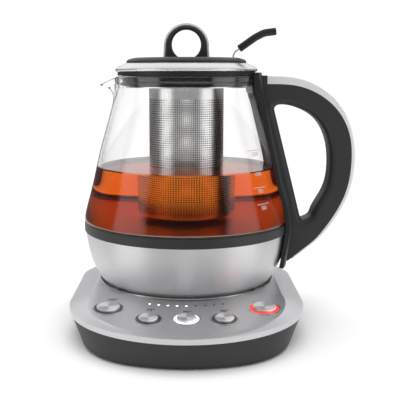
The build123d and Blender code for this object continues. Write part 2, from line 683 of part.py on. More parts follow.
def glass_solid(inset, low=GLASS_BOTTOM, high=GLASS_TOP):
    """The jug's form as a solid of revolution, drawn in by inset and carried on past both ends if asked."""
    edges = glass_profile(inset)
    foot = GLASS_FORM[0][0] - inset
    neck = NECK_R - inset
    corners = xz([(neck, GLASS_TOP), (neck, high), (0, high), (0, low), (foot, low), (foot, GLASS_BOTTOM)])
    unique = [p for k, p in enumerate(corners) if k == 0 or p != corners[k - 1]]
    edges += [Line(a, b) for a, b in zip(unique, unique[1:])]
    return revolve(make_face(edges), Axis.Z)


def spout_section(z, reach, half_width):
    """A level section of the spout: a wedge from inside the neck to a rounded nose at -reach."""
    nose = SPOUT_NOSE_R
    back = SPOUT_BACK
    angle = asin((half_width - nose) / (reach - nose - back)) if half_width > nose else 0
    shoulder = Vector(-(reach - nose) - nose * sin(angle), nose * cos(angle))
    edges = [
        Line((-back, -half_width), (shoulder.X, -shoulder.Y)),
        ThreePointArc((shoulder.X, -shoulder.Y), (-reach, 0), (shoulder.X, shoulder.Y)),
        Line((shoulder.X, shoulder.Y), (-back, half_width)),
        Line((-back, half_width), (-back, -half_width)),
    ]
    return Pos(0, 0, z) * make_face(edges)


def spout_solid(inset):
    """The spout's form: it grows out of the wall below the neck and is widest at the rim."""
    middle_z = (SPOUT_ROOT_Z + SPOUT_TIP_Z) / 2
    middle_r = (SPOUT_ROOT_R + SPOUT_TIP) / 2 - 0.6
    root = spout_section(SPOUT_ROOT_Z, SPOUT_ROOT_R - inset, SPOUT_ROOT_HALF_WIDTH - inset)
    middle = spout_section(middle_z, middle_r - inset, SPOUT_MIDDLE_HALF_WIDTH - inset)
    top = spout_section(GLASS_TOP + PAST, SPOUT_TIP + 1.6 - inset, SPOUT_HALF_WIDTH - inset)
    return loft([root, middle, top])


def glass_body():
    wall = GLASS_WALL
    outer = glass_solid(0) + spout_solid(0)
    inner = glass_solid(wall, low=GLASS_BOTTOM - PAST, high=GLASS_TOP + 2 * PAST) + spout_solid(wall)
    above = Box(2 * SPOUT_TIP, 2 * SPOUT_TIP, 3 * PAST, align=(Align.CENTER, Align.CENTER, Align.MIN))
    glass = outer - inner - Pos(0, 0, GLASS_TOP) * above
    drop = GLASS_TOP - SPOUT_TIP_Z
    run = SPOUT_TIP - NECK_R + wall
    slope = degrees(atan2(drop, run))
    block = Box(NECK_R, 2 * NECK_R, NECK_R, align=(Align.MAX, Align.CENTER, Align.MIN))
    glass -= Pos(-NECK_R + wall, 0, GLASS_TOP) * Rot(0, -slope, 0) * block
    return glass - radial_rod(SCREW_R + 2 * FIT, RIM_INNER_R, HANDLE_REACH, NECK_SCREW_Z)


def bowl_edges(inset):
    points = [(r - inset, 0, z) for r, z in BOWL_FORM]
    points[-1] = (points[-1][0], 0, BOWL_FORM[-1][1] + inset)
    return Spline(*points, tangents=((-0.12, 0, -1), (-1, 0, -0.35))), points


def lower_bowl():
    outer, outer_points = bowl_edges(0)
    inner, inner_points = bowl_edges(SHEET)
    flat = BOWL_FORM[-1][1]
    face = make_face([
        outer,
        Line(outer_points[-1], (BOWL_HOLE_R, 0, flat)),
        Line((BOWL_HOLE_R, 0, flat), (BOWL_HOLE_R, 0, flat + SHEET)),
        Line((BOWL_HOLE_R, 0, flat + SHEET), inner_points[-1]),
        inner,
        Line(inner_points[0], outer_points[0]),
    ])
    bowl = revolve(face, Axis.Z)
    return bowl - radial_rod(SCREW_R + FIT, FOOT_RING_R, HANDLE_REACH, BOWL_SCREW_Z)


def seal_band():
    ledge = PLATE_TOP - PLATE_THICK
    edge = BAND_EDGE
    inner = PLATE_R - BAND_LEDGE
    return turned([(inner, BAND_BOTTOM), (BAND_R - edge, BAND_BOTTOM), (BAND_R, BAND_BOTTOM + edge),
                   (BAND_R, BAND_TOP - edge), (BAND_R - edge, BAND_TOP), (PLATE_R + SEAT_FIT, BAND_TOP),
                   (PLATE_R + SEAT_FIT, ledge), (inner, ledge)])


def glass_gasket():
    inner = PLATE_R - GASKET_LIP
    outer = GLASS_FORM[0][0] - 4 * SEAT_FIT
    return turned([(inner, PLATE_TOP), (PLATE_R - SEAT_FIT, PLATE_TOP), (PLATE_R - SEAT_FIT, BAND_TOP),
                   (outer, BAND_TOP), (outer, GLASS_BOTTOM), (inner, GLASS_BOTTOM)])


COVER_TOP = BOWL_FORM[-1][1] + 2 * SHEET


def heating_plate():
    plate = disc(PLATE_R, PLATE_TOP - PLATE_THICK, PLATE_TOP)
    stud = upright(STUD_CIRCLE, 0, COVER_TOP, STUD_R, PLATE_TOP - PLATE_THICK)
    stud -= upright(STUD_CIRCLE, 0, COVER_TOP - PAST, STUD_BORE_R, COVER_TOP + STUD_BORE_DEPTH)
    for one in around(stud, STUD_COUNT, 90):
        plate += one
    return plate


def heating_element():
    z = PLATE_TOP - PLATE_THICK - ELEMENT_TUBE_R
    tube = Pos(ELEMENT_R, 0, z) * Rot(90, 0, 0) * Circle(ELEMENT_TUBE_R)
    loop = revolve(tube, Axis.Z, 360 - ELEMENT_GAP)
    return Rot(0, 0, ELEMENT_GAP / 2 - 90) * loop


def thermal_cutout():
    high = PLATE_TOP - PLATE_THICK
    low = high - CUTOUT_HEIGHT
    return disc(CUTOUT_R, low, high) + disc(CUTOUT_NECK_R, low - CUTOUT_NECK, high - CUTOUT_NECK)


def temperature_sensor():
    high = PLATE_TOP - PLATE_THICK
    head = upright(SENSOR_AT, 0, high - SENSOR_R, SENSOR_R, high)
    return head + upright(SENSOR_AT, 0, high - SENSOR_HEIGHT, SENSOR_TIP_R, high - SENSOR_TIP_R)


def bottom_cover():
    """The cover under the bowl: the ring that the jug stands on, a plate and a well for the connector."""
    flat = BOWL_FORM[-1][1]
    well = SOCKET_OUTER_R + FIT
    inner = FOOT_RING_R - FOOT_RING_WIDTH
    edge = FOOT_RING_EDGE
    low = COVER_TOP - COVER_THICK
    rim = BOWL_HOLE_R - SEAT_FIT
    roof = SOCKET_ROOF - FIT
    body = turned([(well, low), (inner - SHEET, low), (inner, SEAT_FLOOR), (FOOT_RING_R - edge, SEAT_FLOOR),
                   (FOOT_RING_R, SEAT_FLOOR + edge), (FOOT_RING_R, flat), (rim, flat), (rim, COVER_TOP),
                   (well + SOCKET_WALL, COVER_TOP), (well + SOCKET_WALL, roof), (well, roof)])
    hole = upright(STUD_CIRCLE, 0, SEAT_FLOOR, STUD_BORE_R + FIT, COVER_TOP + PAST)
    for one in around(hole, STUD_COUNT, 90):
        body -= one
    return body


def cover_screws():
    one = screw(COVER_THICK + 8, False, STUD_BORE_R - SEAT_FIT, COVER_HEAD_R, COVER_HEAD)
    return group(around(Pos(STUD_CIRCLE, 0, COVER_TOP - COVER_THICK) * one, STUD_COUNT, 90))


# ---------------------------------------------------------------- handle
def jug_form(gap):
    """The jug's side grown by gap, as a solid of revolution: straight below the band, then band and glass."""
    low = SADDLE_BOTTOM - WALL
    high = SADDLE_TOP + WALL
    slope = (BAND_R - SKIRT_R) / (BAND_BOTTOM - SADDLE_BOTTOM)
    foot = GLASS_FORM[0][0] + gap
    neck = NECK_R + gap
    curve, upright = glass_profile(-gap)
    corners = [(neck, 0, GLASS_TOP), (neck, 0, high), (0, 0, high), (0, 0, low),
               (BAND_R + gap - slope * (BAND_BOTTOM - low), 0, low), (BAND_R + gap, 0, BAND_BOTTOM),
               (BAND_R + gap, 0, BAND_TOP), (foot, 0, GLASS_BOTTOM)]
    sides = [Line(a, b) for a, b in zip(corners, corners[1:])]
    return revolve(make_face([curve, upright] + sides), Axis.Z)


def saddle_form(gap):
    """The jug's side grown by gap, but straight from the glass's waist up to its top."""
    waist_r, waist = GLASS_FORM[3]
    high = SADDLE_TOP + WALL
    return jug_form(gap) + turned([(0, waist), (waist_r + gap, waist), (NECK_R + gap, high), (0, high)])


def sector(angle):
    """A wedge about +X that holds the whole handle's height."""
    reach = HANDLE_REACH
    return turned([(0, SADDLE_BOTTOM), (reach, SADDLE_BOTTOM), (reach, SADDLE_TOP), (0, SADDLE_TOP)], angle)


def handle_saddle():
    outside = FIT + SADDLE_THICK
    saddle = (saddle_form(outside) & sector(SADDLE_ANGLE)) - jug_form(FIT)
    for side in (-GROOVE_AT, GROOVE_AT):
        saddle -= Rot(0, 0, side) * sector(GROOVE_ANGLE) - saddle_form(outside - GROOVE_DEPTH)
    for z in (NECK_SCREW_Z, BOWL_SCREW_Z):
        saddle -= radial_rod(SCREW_R + SCREW_CLEAR, 0, HANDLE_REACH, z)
    return saddle


# outer line of the handle, from the top of the neck round to the foot of the saddle
HANDLE_LINE = ((NECK_R + 8.4, HANDLE_TOP), (HANDLE_REACH - 42.4, HANDLE_TOP - 3.4),
               (HANDLE_REACH - 16.5, HANDLE_TOP - 20.0), (HANDLE_REACH - 2.8, HANDLE_TOP - 45.4),
               (HANDLE_REACH, 131.0), (HANDLE_REACH - 6.8, 98.0), (HANDLE_REACH - 24.8, 70.2),
               (BAND_R + 3.1, HANDLE_BOTTOM))
# hand gap: its straight side runs along the spine, the rest is one round line
GAP_TOP = (NECK_R + 14.4, HANDLE_TOP - 25.8)
GAP_BOTTOM = (BAND_R + 8.6, 89.0)
GAP_LINE = ((NECK_R + 19.0, HANDLE_TOP - 23.5), (HANDLE_REACH - 48.4, HANDLE_TOP - 25.8),
            (HANDLE_REACH - 33.2, HANDLE_TOP - 34.2), (HANDLE_REACH - 23.2, HANDLE_TOP - 50.4),
            (HANDLE_REACH - 20.0, 130.0), (HANDLE_REACH - 24.4, 106.0), (HANDLE_REACH - 33.2, 89.6),
            (BAND_R + 13.1, 82.8))


def handle_outer():
    return Spline(*xz(HANDLE_LINE), tangents=((1, 0, 0.0), (-1, 0, -0.8)))


def trim_line():
    """The line between grip and trim: the outer line moved in, most at the top."""
    shares = (TRIM_TOP_THICK, TRIM_TOP_THICK - 0.6, TRIM_TOP_THICK - 2.2, TRIM_THICK, TRIM_THICK, TRIM_THICK,
              TRIM_THICK - 0.6, TRIM_END_THICK)
    line = handle_outer()
    moved = []
    for thick, point in zip(shares, HANDLE_LINE):
        tangent = line.tangent_at(line.param_at_point((point[0], 0, point[1])))
        inward = Vector(tangent.Z, 0, -tangent.X)
        moved.append((point[0] + inward.X * thick, point[1] + inward.Z * thick))
    return moved


def handle_slab(face, half_width):
    return extrude(face, half_width, both=True)


def hand_gap(half_width):
    side = (Vector(*GAP_BOTTOM) - Vector(*GAP_TOP)).normalized()
    top = Vector(*GAP_TOP) + side * GAP_CORNER
    bottom = Vector(*GAP_BOTTOM) - side * GAP_CORNER
    curve = Spline(*xz(GAP_LINE), tangents=((1, 0, 0.1), (-0.9, 0, -0.35)))
    straight = Line((bottom.X, 0, bottom.Y), (top.X, 0, top.Y))
    up = (-side.X, 0, -side.Y)
    upper = Spline((top.X, 0, top.Y), xz(GAP_LINE)[0], tangents=(up, (1, 0, 0.1)))
    lower = Spline(xz(GAP_LINE)[-1], (bottom.X, 0, bottom.Y), tangents=((-0.9, 0, -0.35), up))
    return handle_slab(make_face([straight, upper, curve, lower]), half_width)


def handle_grip():
    inner = trim_line()
    top_z = inner[0][1]
    start = (HANDLE_LINE[0][0], top_z)
    line = [start] + inner[1:]
    curve = Spline(*xz(line), tangents=((1, 0, 0), (-1, 0, -0.8)))
    bottom = line[-1]
    toe = bottom[0] - WALL
    low = HANDLE_BOTTOM - PAST
    corners = [bottom, (toe, low), (SPINE_START, low), (SPINE_START, HANDLE_TOP), HANDLE_LINE[0], start]
    sides = [Line(a, b) for a, b in zip(xz(corners), xz(corners[1:]))]
    body = handle_slab(make_face([curve] + sides), HANDLE_HALF_WIDTH)
    body -= hand_gap(HANDLE_HALF_WIDTH + PAST)
    edges = body.edges().filter_by(lambda e: abs(abs(e.center().Y) - HANDLE_HALF_WIDTH) < SEAT_FIT)
    body = fillet(edges.filter_by(lambda e: in_gap(e.center())), GRIP_ROUND)
    body -= saddle_form(FIT + SADDLE_THICK + SEAT_FIT)
    body -= radial_rod(SCREW_R - SCREW_CLEAR, 0, NECK_BORE_END, NECK_SCREW_Z)
    body -= radial_rod(SCREW_R - SCREW_CLEAR, 0, BOWL_BORE_END, BOWL_SCREW_Z)
    return body


def in_gap(point):
    """Whether a point lies within the hand gap's own corners."""
    across = [x for x, z in GAP_LINE + (GAP_TOP, GAP_BOTTOM)]
    height = [z for x, z in GAP_LINE + (GAP_TOP, GAP_BOTTOM)]
    return (min(across) - PAST < point.X < max(across) + PAST
            and min(height) - PAST < point.Z < max(height) + PAST)


def handle_trim():
    inner = trim_line()
    start = (HANDLE_LINE[0][0] + SEAT_FIT, inner[0][1] + SEAT_FIT)
    line = [start] + inner[1:]
    edges = [
        handle_outer(),
        Spline(*xz(line), tangents=((1, 0, 0), (-1, 0, -0.8))),
        Line((start[0], 0, start[1]), (HANDLE_LINE[0][0], 0, HANDLE_TOP)),
        Line((line[-1][0], 0, line[-1][1]), (HANDLE_LINE[-1][0], 0, HANDLE_LINE[-1][1])),
    ]
    body = handle_slab(make_face(edges), HANDLE_HALF_WIDTH)
    sides = body.edges().filter_by(lambda e: abs(abs(e.center().Y) - HANDLE_HALF_WIDTH) < SEAT_FIT)
    return fillet(sides.sort_by(SortBy.LENGTH)[-2:], TRIM_ROUND)


def handle_screws():
    neck_head = LIP_R - PAD_THICK + PAST
    upper = radial_rod(SCREW_R - 3 * SEAT_FIT, neck_head, neck_head + NECK_SCREW_LENGTH, NECK_SCREW_Z)
    upper += radial_rod(NECK_HEAD_R, neck_head - NECK_HEAD, neck_head, NECK_SCREW_Z)
    seat = BOWL_FORM[1][0] - SHEET - 2.8
    lower = radial_rod(SCREW_R - 3 * SEAT_FIT, seat, seat + BOWL_SCREW_LENGTH, BOWL_SCREW_Z)
    lower += radial_rod(SCREW_HEAD_R, seat - SCREW_HEAD, seat, BOWL_SCREW_Z)
    return group([upper, lower])


def neck_clamp_pad():
    outer = LIP_R
    inner = outer - PAD_THICK
    high = GASKET_BOTTOM - PAD_GAP
    low = high - PAD_HEIGHT
    cut = PAD_CHAMFER
    corners = [(inner, low + cut), (inner + cut, low), (outer, low), (outer, high), (inner, high)]
    pad = turned(corners, PAD_ANGLE)
    pad -= radial_rod(SCREW_R + SCREW_CLEAR, 0, HANDLE_REACH, NECK_SCREW_Z)
    return pad - radial_rod(NECK_HEAD_R + 2 * SCREW_CLEAR, 0, inner + PAST, NECK_SCREW_Z)


# ---------------------------------------------------------------- lid
def lid_rim():
    """The steel ring between cap and glass: its crown falls to the widest line, then turns under."""
    crown = CAP_BOTTOM - RIM_WIDEST_Z
    outside = [(4.9, 0.69 * crown), (1.2, 0.27 * crown), (0.0, 0.0), (0.6, -1.5)]
    points = [(RIM_INNER_R, CAP_BOTTOM - RIM_SHEET), (CAP_R - FIT, CAP_BOTTOM)]
    points += [(RIM_OUTER_R - inward, RIM_WIDEST_Z + rise) for inward, rise in outside]
    points += [(RIM_OUTER_R - 2.4, RIM_BOTTOM), (RIM_INNER_R + 5.0, RIM_BOTTOM),
               (RIM_INNER_R + 2.5, RIM_WIDEST_Z), (RIM_INNER_R, RIM_WIDEST_Z + PAST)]
    return turned(points)


def lever_pocket():
    """The room that the lever's barrel and wire need in the cap."""
    low = HUB_BOTTOM - PAST
    chamber = Pos(LEVER_X, 0, low) * extrude(Rectangle(POCKET_WIDTH, BARREL_LENGTH + 3), POCKET_ROOF - low)
    slot_start = LEVER_X - WIRE_R - FIT
    slot_end = LEVER_X + (CAP_TOP - LEVER_Z) * tan(radians(LEVER_ANGLE)) + 3 * WIRE_R
    mouth = Rectangle(slot_end - slot_start, 2 * WIRE_R + 2 * FIT)
    slot = extrude(mouth, CAP_TOP - POCKET_ROOF + 2 * PAST)
    return chamber + Pos((slot_start + slot_end) / 2, 0, POCKET_ROOF - PAST) * slot


def pin_axis(radius, length):
    return Pos(LEVER_X, -length / 2, LEVER_Z) * Rot(-90, 0, 0) * extrude(Circle(radius), length)


def lid_cap():
    hub_r = RIM_INNER_R - SEAT_FIT
    cap = turned([(0, HUB_BOTTOM), (hub_r, HUB_BOTTOM), (hub_r, CAP_BOTTOM), (CAP_R, CAP_BOTTOM),
                  (CAP_R, CAP_EDGE), (CAP_R - CAP_ROUND, CAP_TOP - 1.2), (CAP_FLAT_R, CAP_TOP), (0, CAP_TOP)])
    cap -= lever_pocket()
    cap -= pin_axis(PIN_R + SEAT_FIT, PIN_LENGTH + 2 * SCREW_CLEAR)
    for x in (-loop_foot(), loop_foot()):
        cap -= upright(x, 0, HUB_BOTTOM - PAST, SMALL_SCREW_R + FIT, CAP_TOP + PAST)
        cap -= upright(x, 0, HUB_BOTTOM - PAST, LID_HEAD_R + FIT, HUB_BOTTOM + LID_HEAD_SINK)
    return cap


def loop_foot():
    return (LOOP_R + LOOP_HOLE_R) / 2


def loop_face(radius, spread):
    """Upright face of the loop: a half circle on two legs that stand a little apart at their feet."""
    edges = [
        Line((-radius - spread, 0, CAP_TOP), (-radius, 0, LOOP_CENTRE)),
        ThreePointArc((-radius, 0, LOOP_CENTRE), (0, 0, LOOP_CENTRE + radius), (radius, 0, LOOP_CENTRE)),
        Line((radius, 0, LOOP_CENTRE), (radius + spread, 0, CAP_TOP)),
        Line((radius + spread, 0, CAP_TOP), (-radius - spread, 0, CAP_TOP)),
    ]
    return make_face(edges)


def finger_hole(radius):
    return Pos(0, 0, LOOP_HOLE_Z) * Rot(90, 0, 0) * extrude(Circle(radius), LOOP_THICK, both=True)


def lid_loop():
    body = extrude(loop_face(LOOP_R, LOOP_SPREAD), LOOP_THICK / 2, both=True)
    body -= finger_hole(LOOP_HOLE_R)
    rim = body.edges().filter_by(lambda e: e.geom_type == GeomType.CIRCLE)
    body = chamfer(rim, LOOP_EDGE)
    for x in (-loop_foot(), loop_foot()):
        body -= upright(x, 0, CAP_TOP, SMALL_SCREW_R + SEAT_FIT, CAP_TOP + LOOP_BORE)
    return body


def lid_loop_trim():
    outer = extrude(loop_face(LOOP_R + LOOP_TRIM, LOOP_SPREAD), LOOP_TRIM_WIDTH / 2, both=True)
    return outer - extrude(loop_face(LOOP_R + SEAT_FIT, LOOP_SPREAD), LOOP_THICK, both=True)


def lid_screws():
    seat = HUB_BOTTOM + LID_HEAD_SINK
    one = screw(CAP_TOP + 3 - seat, head_up=False, shank=SMALL_SCREW_R, head=LID_HEAD_R, height=SMALL_HEAD)
    return group([Pos(x, 0, seat) * one for x in (-loop_foot(), loop_foot())])


def lid_gasket():
    """A sleeve with lips that bear on the inside of the neck, and a rim over the edge of the glass."""
    inner = RIM_INNER_R
    core = LIP_R - LIP_DEPTH
    points = [(inner, GASKET_BOTTOM), (core, GASKET_BOTTOM)]
    for z in reversed(LIP_LEVELS):
        points += [(core, z - LIP_THICK / 2), (LIP_R, z - LIP_THICK / 4), (LIP_R, z + LIP_THICK / 4),
                   (core, z + LIP_THICK / 2)]
    points += [(core, GLASS_TOP + FIT), (GASKET_RIM_R, GLASS_TOP + FIT), (GASKET_RIM_R, RIM_BOTTOM),
               (inner, RIM_BOTTOM)]
    return turned(points)


def lug(inner, outer, low, high):
    return turned([(inner, low), (outer, low), (outer, high), (inner, high)], LUG_ANGLE)


def lid_plug():
    """The cup inside the gasket: its top meets the cap, and its collar carries the bayonet lugs."""
    outer = RIM_INNER_R - SEAT_FIT
    floor = GASKET_BOTTOM
    wall = PLUG_WALL
    body = turned([(COLLAR_R - wall, COLLAR_BOTTOM), (COLLAR_R, COLLAR_BOTTOM), (COLLAR_R, floor),
                   (outer, floor), (outer, HUB_BOTTOM), (outer - wall, HUB_BOTTOM),
                   (outer - wall, floor + wall), (0, floor + wall), (0, floor), (COLLAR_R - wall, floor)])
    reach = lug(COLLAR_R - PLUG_WALL / 4, COLLAR_R + LUG_REACH, COLLAR_BOTTOM, COLLAR_BOTTOM + LUG_HEIGHT)
    for one in around(reach, LUG_COUNT):
        body += one
    return body


def lever_pin():
    return pin_axis(PIN_R, PIN_LENGTH)


def lever_spring():
    """The return spring's coil round the pin, beside the barrel."""
    coil = pin_axis(BARREL_R - FIT, SPRING_WIDTH) - pin_axis(PIN_R + SEAT_FIT, SPRING_WIDTH + PAST)
    return Pos(0, (BARREL_LENGTH + SPRING_WIDTH) / 2 + 0.25, 0) * coil


def from_pivot(*places):
    """Points of the lever, given from its pivot, as (x, z)."""
    return tuple((LEVER_X + x, LEVER_Z + z) for x, z in places)


GRIP_START, = from_pivot((5.0, 12.4))
GRIP_BENDS = from_pivot((18.0, 21.5), (25.2, 25.2))
GRIP_END, = from_pivot((35.0, 26.4))
WIRE_BENDS = from_pivot((0.4, 7.2), (2.0, 10.3))


def lever_wire():
    """The bent wire, from the top of the barrel on the pin up through the cap and into the grip."""
    end = Vector(*GRIP_END) - (Vector(*GRIP_END) - Vector(*GRIP_BENDS[-1])).normalized() * WIRE_SHORT
    points = ((LEVER_X, LEVER_Z + BARREL_R / 2),) + WIRE_BENDS + GRIP_BENDS + ((end.X, end.Y),)
    path = FilletPolyline(*xz(points), radius=[WIRE_BEND_R, WIRE_BEND_R, BEND_R, BEND_R])
    wire = sweep(Plane(origin=path @ 0, z_dir=path % 0) * Circle(WIRE_R), path=path)
    return wire + pin_axis(BARREL_R, BARREL_LENGTH) - pin_axis(PIN_R + SEAT_FIT, PIN_LENGTH)


def lever_grip():
    path = FilletPolyline(*xz((GRIP_START,) + GRIP_BENDS + (GRIP_END,)), radius=[BEND_R, BEND_R])
    start = Plane(origin=path @ 0, z_dir=path % 0)
    sleeve = sweep(start * Circle(GRIP_R), path=path)
    return sleeve - sweep(start * Circle(WIRE_R + SEAT_FIT), path=path)


# ---------------------------------------------------------------- infuser
def infuser_basket():
    tube = ring(INFUSER_R, INFUSER_R - INFUSER_WALL, INFUSER_BOTTOM, INFUSER_TOP)
    floor = disc(INFUSER_R - INFUSER_WALL / 2, INFUSER_BOTTOM, INFUSER_BOTTOM + INFUSER_WALL)
    basket = tube + floor
    for tab in infuser_tabs():
        basket += tab
    return basket


def infuser_flange():
    """The steel ring round the basket's mouth."""
    return ring(FLANGE_R, INFUSER_R + SEAT_FIT, INFUSER_TOP - FLANGE_THICK, INFUSER_TOP)


def infuser_tabs():
    """The tabs inside the basket's mouth that hook over the lid's lugs."""
    low = COLLAR_BOTTOM + LUG_HEIGHT + FIT
    tab = lug(COLLAR_R + FIT, INFUSER_R - INFUSER_WALL + 2 * SEAT_FIT, low, low + TAB_THICK)
    return around(tab, LUG_COUNT)


# ---------------------------------------------------------------- every sub-part by its node name
def nodes():
    parts = {
        "base_top_shell": base_top_shell(),
        "base_lower_shell": base_lower_shell(),
        "foot_ring": foot_ring(),
        "base_screws": base_screws(),
        "cord_inlet": cord_inlet(),
        "base_connector_housing": base_connector_housing(),
        "base_connector_contacts": base_connector_contacts(),
        "control_board": control_board(),
        "tactile_switches": tactile_switches(),
        "board_screws": board_screws(),
        "indicator_lenses": indicator_lenses(),
        "button_bezels": button_bezels(),
        "power_board": power_board(),
        "relay": on_power_board(RELAY_X, RELAY, RELAY_EDGE),
        "transformer": on_power_board(TRANSFORMER_X, TRANSFORMER, TRANSFORMER_EDGE),
        "jug_connector_body": jug_connector_body(),
        "jug_connector_rings": jug_connector_rings(),
        "glass_body": glass_body(),
        "lower_bowl": lower_bowl(),
        "seal_band": seal_band(),
        "glass_gasket": glass_gasket(),
        "heating_plate": heating_plate(),
        "heating_element": heating_element(),
        "thermal_cutout": thermal_cutout(),
        "temperature_sensor": temperature_sensor(),
        "bottom_cover": bottom_cover(),
        "cover_screws": cover_screws(),
        "handle_saddle": handle_saddle(),
        "handle_grip": handle_grip(),
        "handle_trim": handle_trim(),
        "handle_screws": handle_screws(),
        "neck_clamp_pad": neck_clamp_pad(),
        "lid_rim": lid_rim(),
        "lid_cap": lid_cap(),
        "lid_loop": lid_loop(),
        "lid_loop_trim": lid_loop_trim(),
        "lid_screws": lid_screws(),
        "lid_gasket": lid_gasket(),
        "lid_plug": lid_plug(),
        "lever_pin": lever_pin(),
        "lever_spring": lever_spring(),
        "lever_wire": lever_wire(),
        "lever_grip": lever_grip(),
        "infuser_basket": infuser_basket(),
        "infuser_flange": infuser_flange(),
    }
    for name in BUTTONS:
        parts[name + "_light_ring"] = light_ring(name)
        parts[name + "_cap"] = button_cap(name)
        parts[name + "_stem"] = button_stem(name)
    return parts


os.makedirs("parts", exist_ok=True)
for node, shape in nodes().items():
    export_step(shape, f"parts/{node}.step")
print("wrote the nodes")
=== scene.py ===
import math

import bmesh
import bpy
from bpy.props import FloatProperty, FloatVectorProperty, IntProperty, PointerProperty
from mathutils import Matrix, Vector
from mathutils.geometry import interpolate_bezier


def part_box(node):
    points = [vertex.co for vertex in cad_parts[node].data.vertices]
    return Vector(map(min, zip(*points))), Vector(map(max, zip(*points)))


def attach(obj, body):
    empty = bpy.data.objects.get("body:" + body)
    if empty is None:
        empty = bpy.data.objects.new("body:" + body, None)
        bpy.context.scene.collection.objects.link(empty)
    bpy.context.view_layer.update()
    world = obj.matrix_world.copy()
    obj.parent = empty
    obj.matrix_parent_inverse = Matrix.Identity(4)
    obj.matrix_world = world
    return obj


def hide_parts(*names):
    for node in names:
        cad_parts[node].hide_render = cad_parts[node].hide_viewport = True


bl_info = {
    "name": "Automatic tea maker",
    "version": (1, 0, 0),
    "blender": (4, 5, 0),
    "location": "3D view > Sidebar > Tea maker",
    "description": "Dresses the tea maker's solids: finishes, glass, tea, sieve, printed marks and studio",
    "category": "Object",
}

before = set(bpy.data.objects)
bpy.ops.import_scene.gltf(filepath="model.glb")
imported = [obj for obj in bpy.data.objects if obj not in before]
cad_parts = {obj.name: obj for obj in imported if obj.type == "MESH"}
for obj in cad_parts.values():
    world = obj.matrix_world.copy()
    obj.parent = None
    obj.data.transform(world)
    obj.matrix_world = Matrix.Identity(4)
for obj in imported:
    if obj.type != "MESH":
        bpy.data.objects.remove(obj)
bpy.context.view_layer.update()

MM = 0.001
FULL_TURN = 2 * math.pi
FILM = 0.02     # millimetres: how thick ink is, and how far a film lies off what is under it
MIX_FACTOR, MIX_A, MIX_B, MIX_OUT = 0, 6, 7, 2     # sockets of a colour Mix node

# Forms that the dressed pieces share with the solids, as (radius, height) in millimetres.
GLASS_LINE = ((85.1, 82.8), (84.3, 89.5), (77.6, 114.4), (71.9, 139.1), (66.1, 159.5), (59.6, 182.0),
              (57.0, 193.5), (57.0, 197.0), (57.0, 199.85))
GLASS_WALL = 2.3
RIM_LINE = ((46.0, 210.5), (48.7, 211.5), (53.3, 209.9), (57.0, 207.7), (58.2, 206.2), (57.6, 204.8),
            (55.8, 204.05))
RIM_UNDERSIDE = ((51.0, 204.05), (48.5, 206.2), (46.0, 207.2))
PLATE_SLOPE = ((77.8, 80.02), (78.6, 80.02), (82.4, 83.4), (82.2, 83.9))
TEA_BED = ((0.0, 79.9), (79.85, 79.9), (79.85, 82.9), (82.92, 82.95))     # over the plate and the band's lip

# The button panel: where the deck turns down into it, how far it tips, and the way it faces.
PANEL_START = Vector((0.0, -60.0, 33.3))
PANEL_TILT = math.radians(6.4)
PANEL_NORMAL = Vector((0.0, -math.sin(PANEL_TILT), math.cos(PANEL_TILT)))


# ---------------------------------------------------------------- colour
def linear(code):
    """Linear red, green and blue of an sRGB hex colour."""
    shares = [int(code[k:k + 2], 16) / 255 for k in (1, 3, 5)]
    return tuple(c / 12.92 if c <= 0.04045 else ((c + 0.055) / 1.055) ** 2.4 for c in shares)


def opaque(colour):
    return (*colour, 1.0)


# ---------------------------------------------------------------- settings
class TeaJugSettings(bpy.types.PropertyGroup):
    """Sizes of the glass jug, its tea and its level marks."""

    tea_level: FloatProperty(
        name="Tea level", description="Height of the tea's surface above the table",
        default=127.6 * MM, min=85 * MM, max=170 * MM, unit="LENGTH")
    meniscus: FloatProperty(
        name="Meniscus", description="How far the tea climbs up the glass", default=0.4 * MM, unit="LENGTH")
    rim_bead: FloatProperty(
        name="Rim bead", description="Radius of the fire-polished edge", default=1.15 * MM, unit="LENGTH")
    spout_reach: FloatProperty(
        name="Spout reach", description="How far the spout stands out of the neck",
        default=15.4 * MM, unit="LENGTH")
    spout_drop: FloatProperty(
        name="Spout drop", description="How far the lip of the spout lies under the rim",
        default=7.4 * MM, unit="LENGTH")
    mark_height: FloatProperty(
        name="Mark height", description="Height of the numbers on the glass", default=4.2 * MM, unit="LENGTH")
    mark_length: FloatProperty(
        name="Mark length", description="Length of each level line", default=14.5 * MM, unit="LENGTH")


class TeaSieveSettings(bpy.types.PropertyGroup):
    """Sizes of the infuser's perforated sheet."""

    radius: FloatProperty(
        name="Radius", description="Outer radius of the sieve", default=30.7 * MM, unit="LENGTH")
    sheet: FloatProperty(
        name="Sheet", description="Thickness of the perforated sheet", default=0.5 * MM, unit="LENGTH")
    holes_around: IntProperty(
        name="Holes around", description="Holes in one row of the sieve", default=108, min=24)
    hole_radius: FloatProperty(
        name="Hole radius", description="Radius of each hole", default=0.6 * MM, unit="LENGTH")
    sieve_low: FloatProperty(
        name="Sieve start", description="Height of the lowest row", default=87.0 * MM, unit="LENGTH")
    sieve_high: FloatProperty(
        name="Sieve end", description="Height of the highest row", default=185.0 * MM, unit="LENGTH")


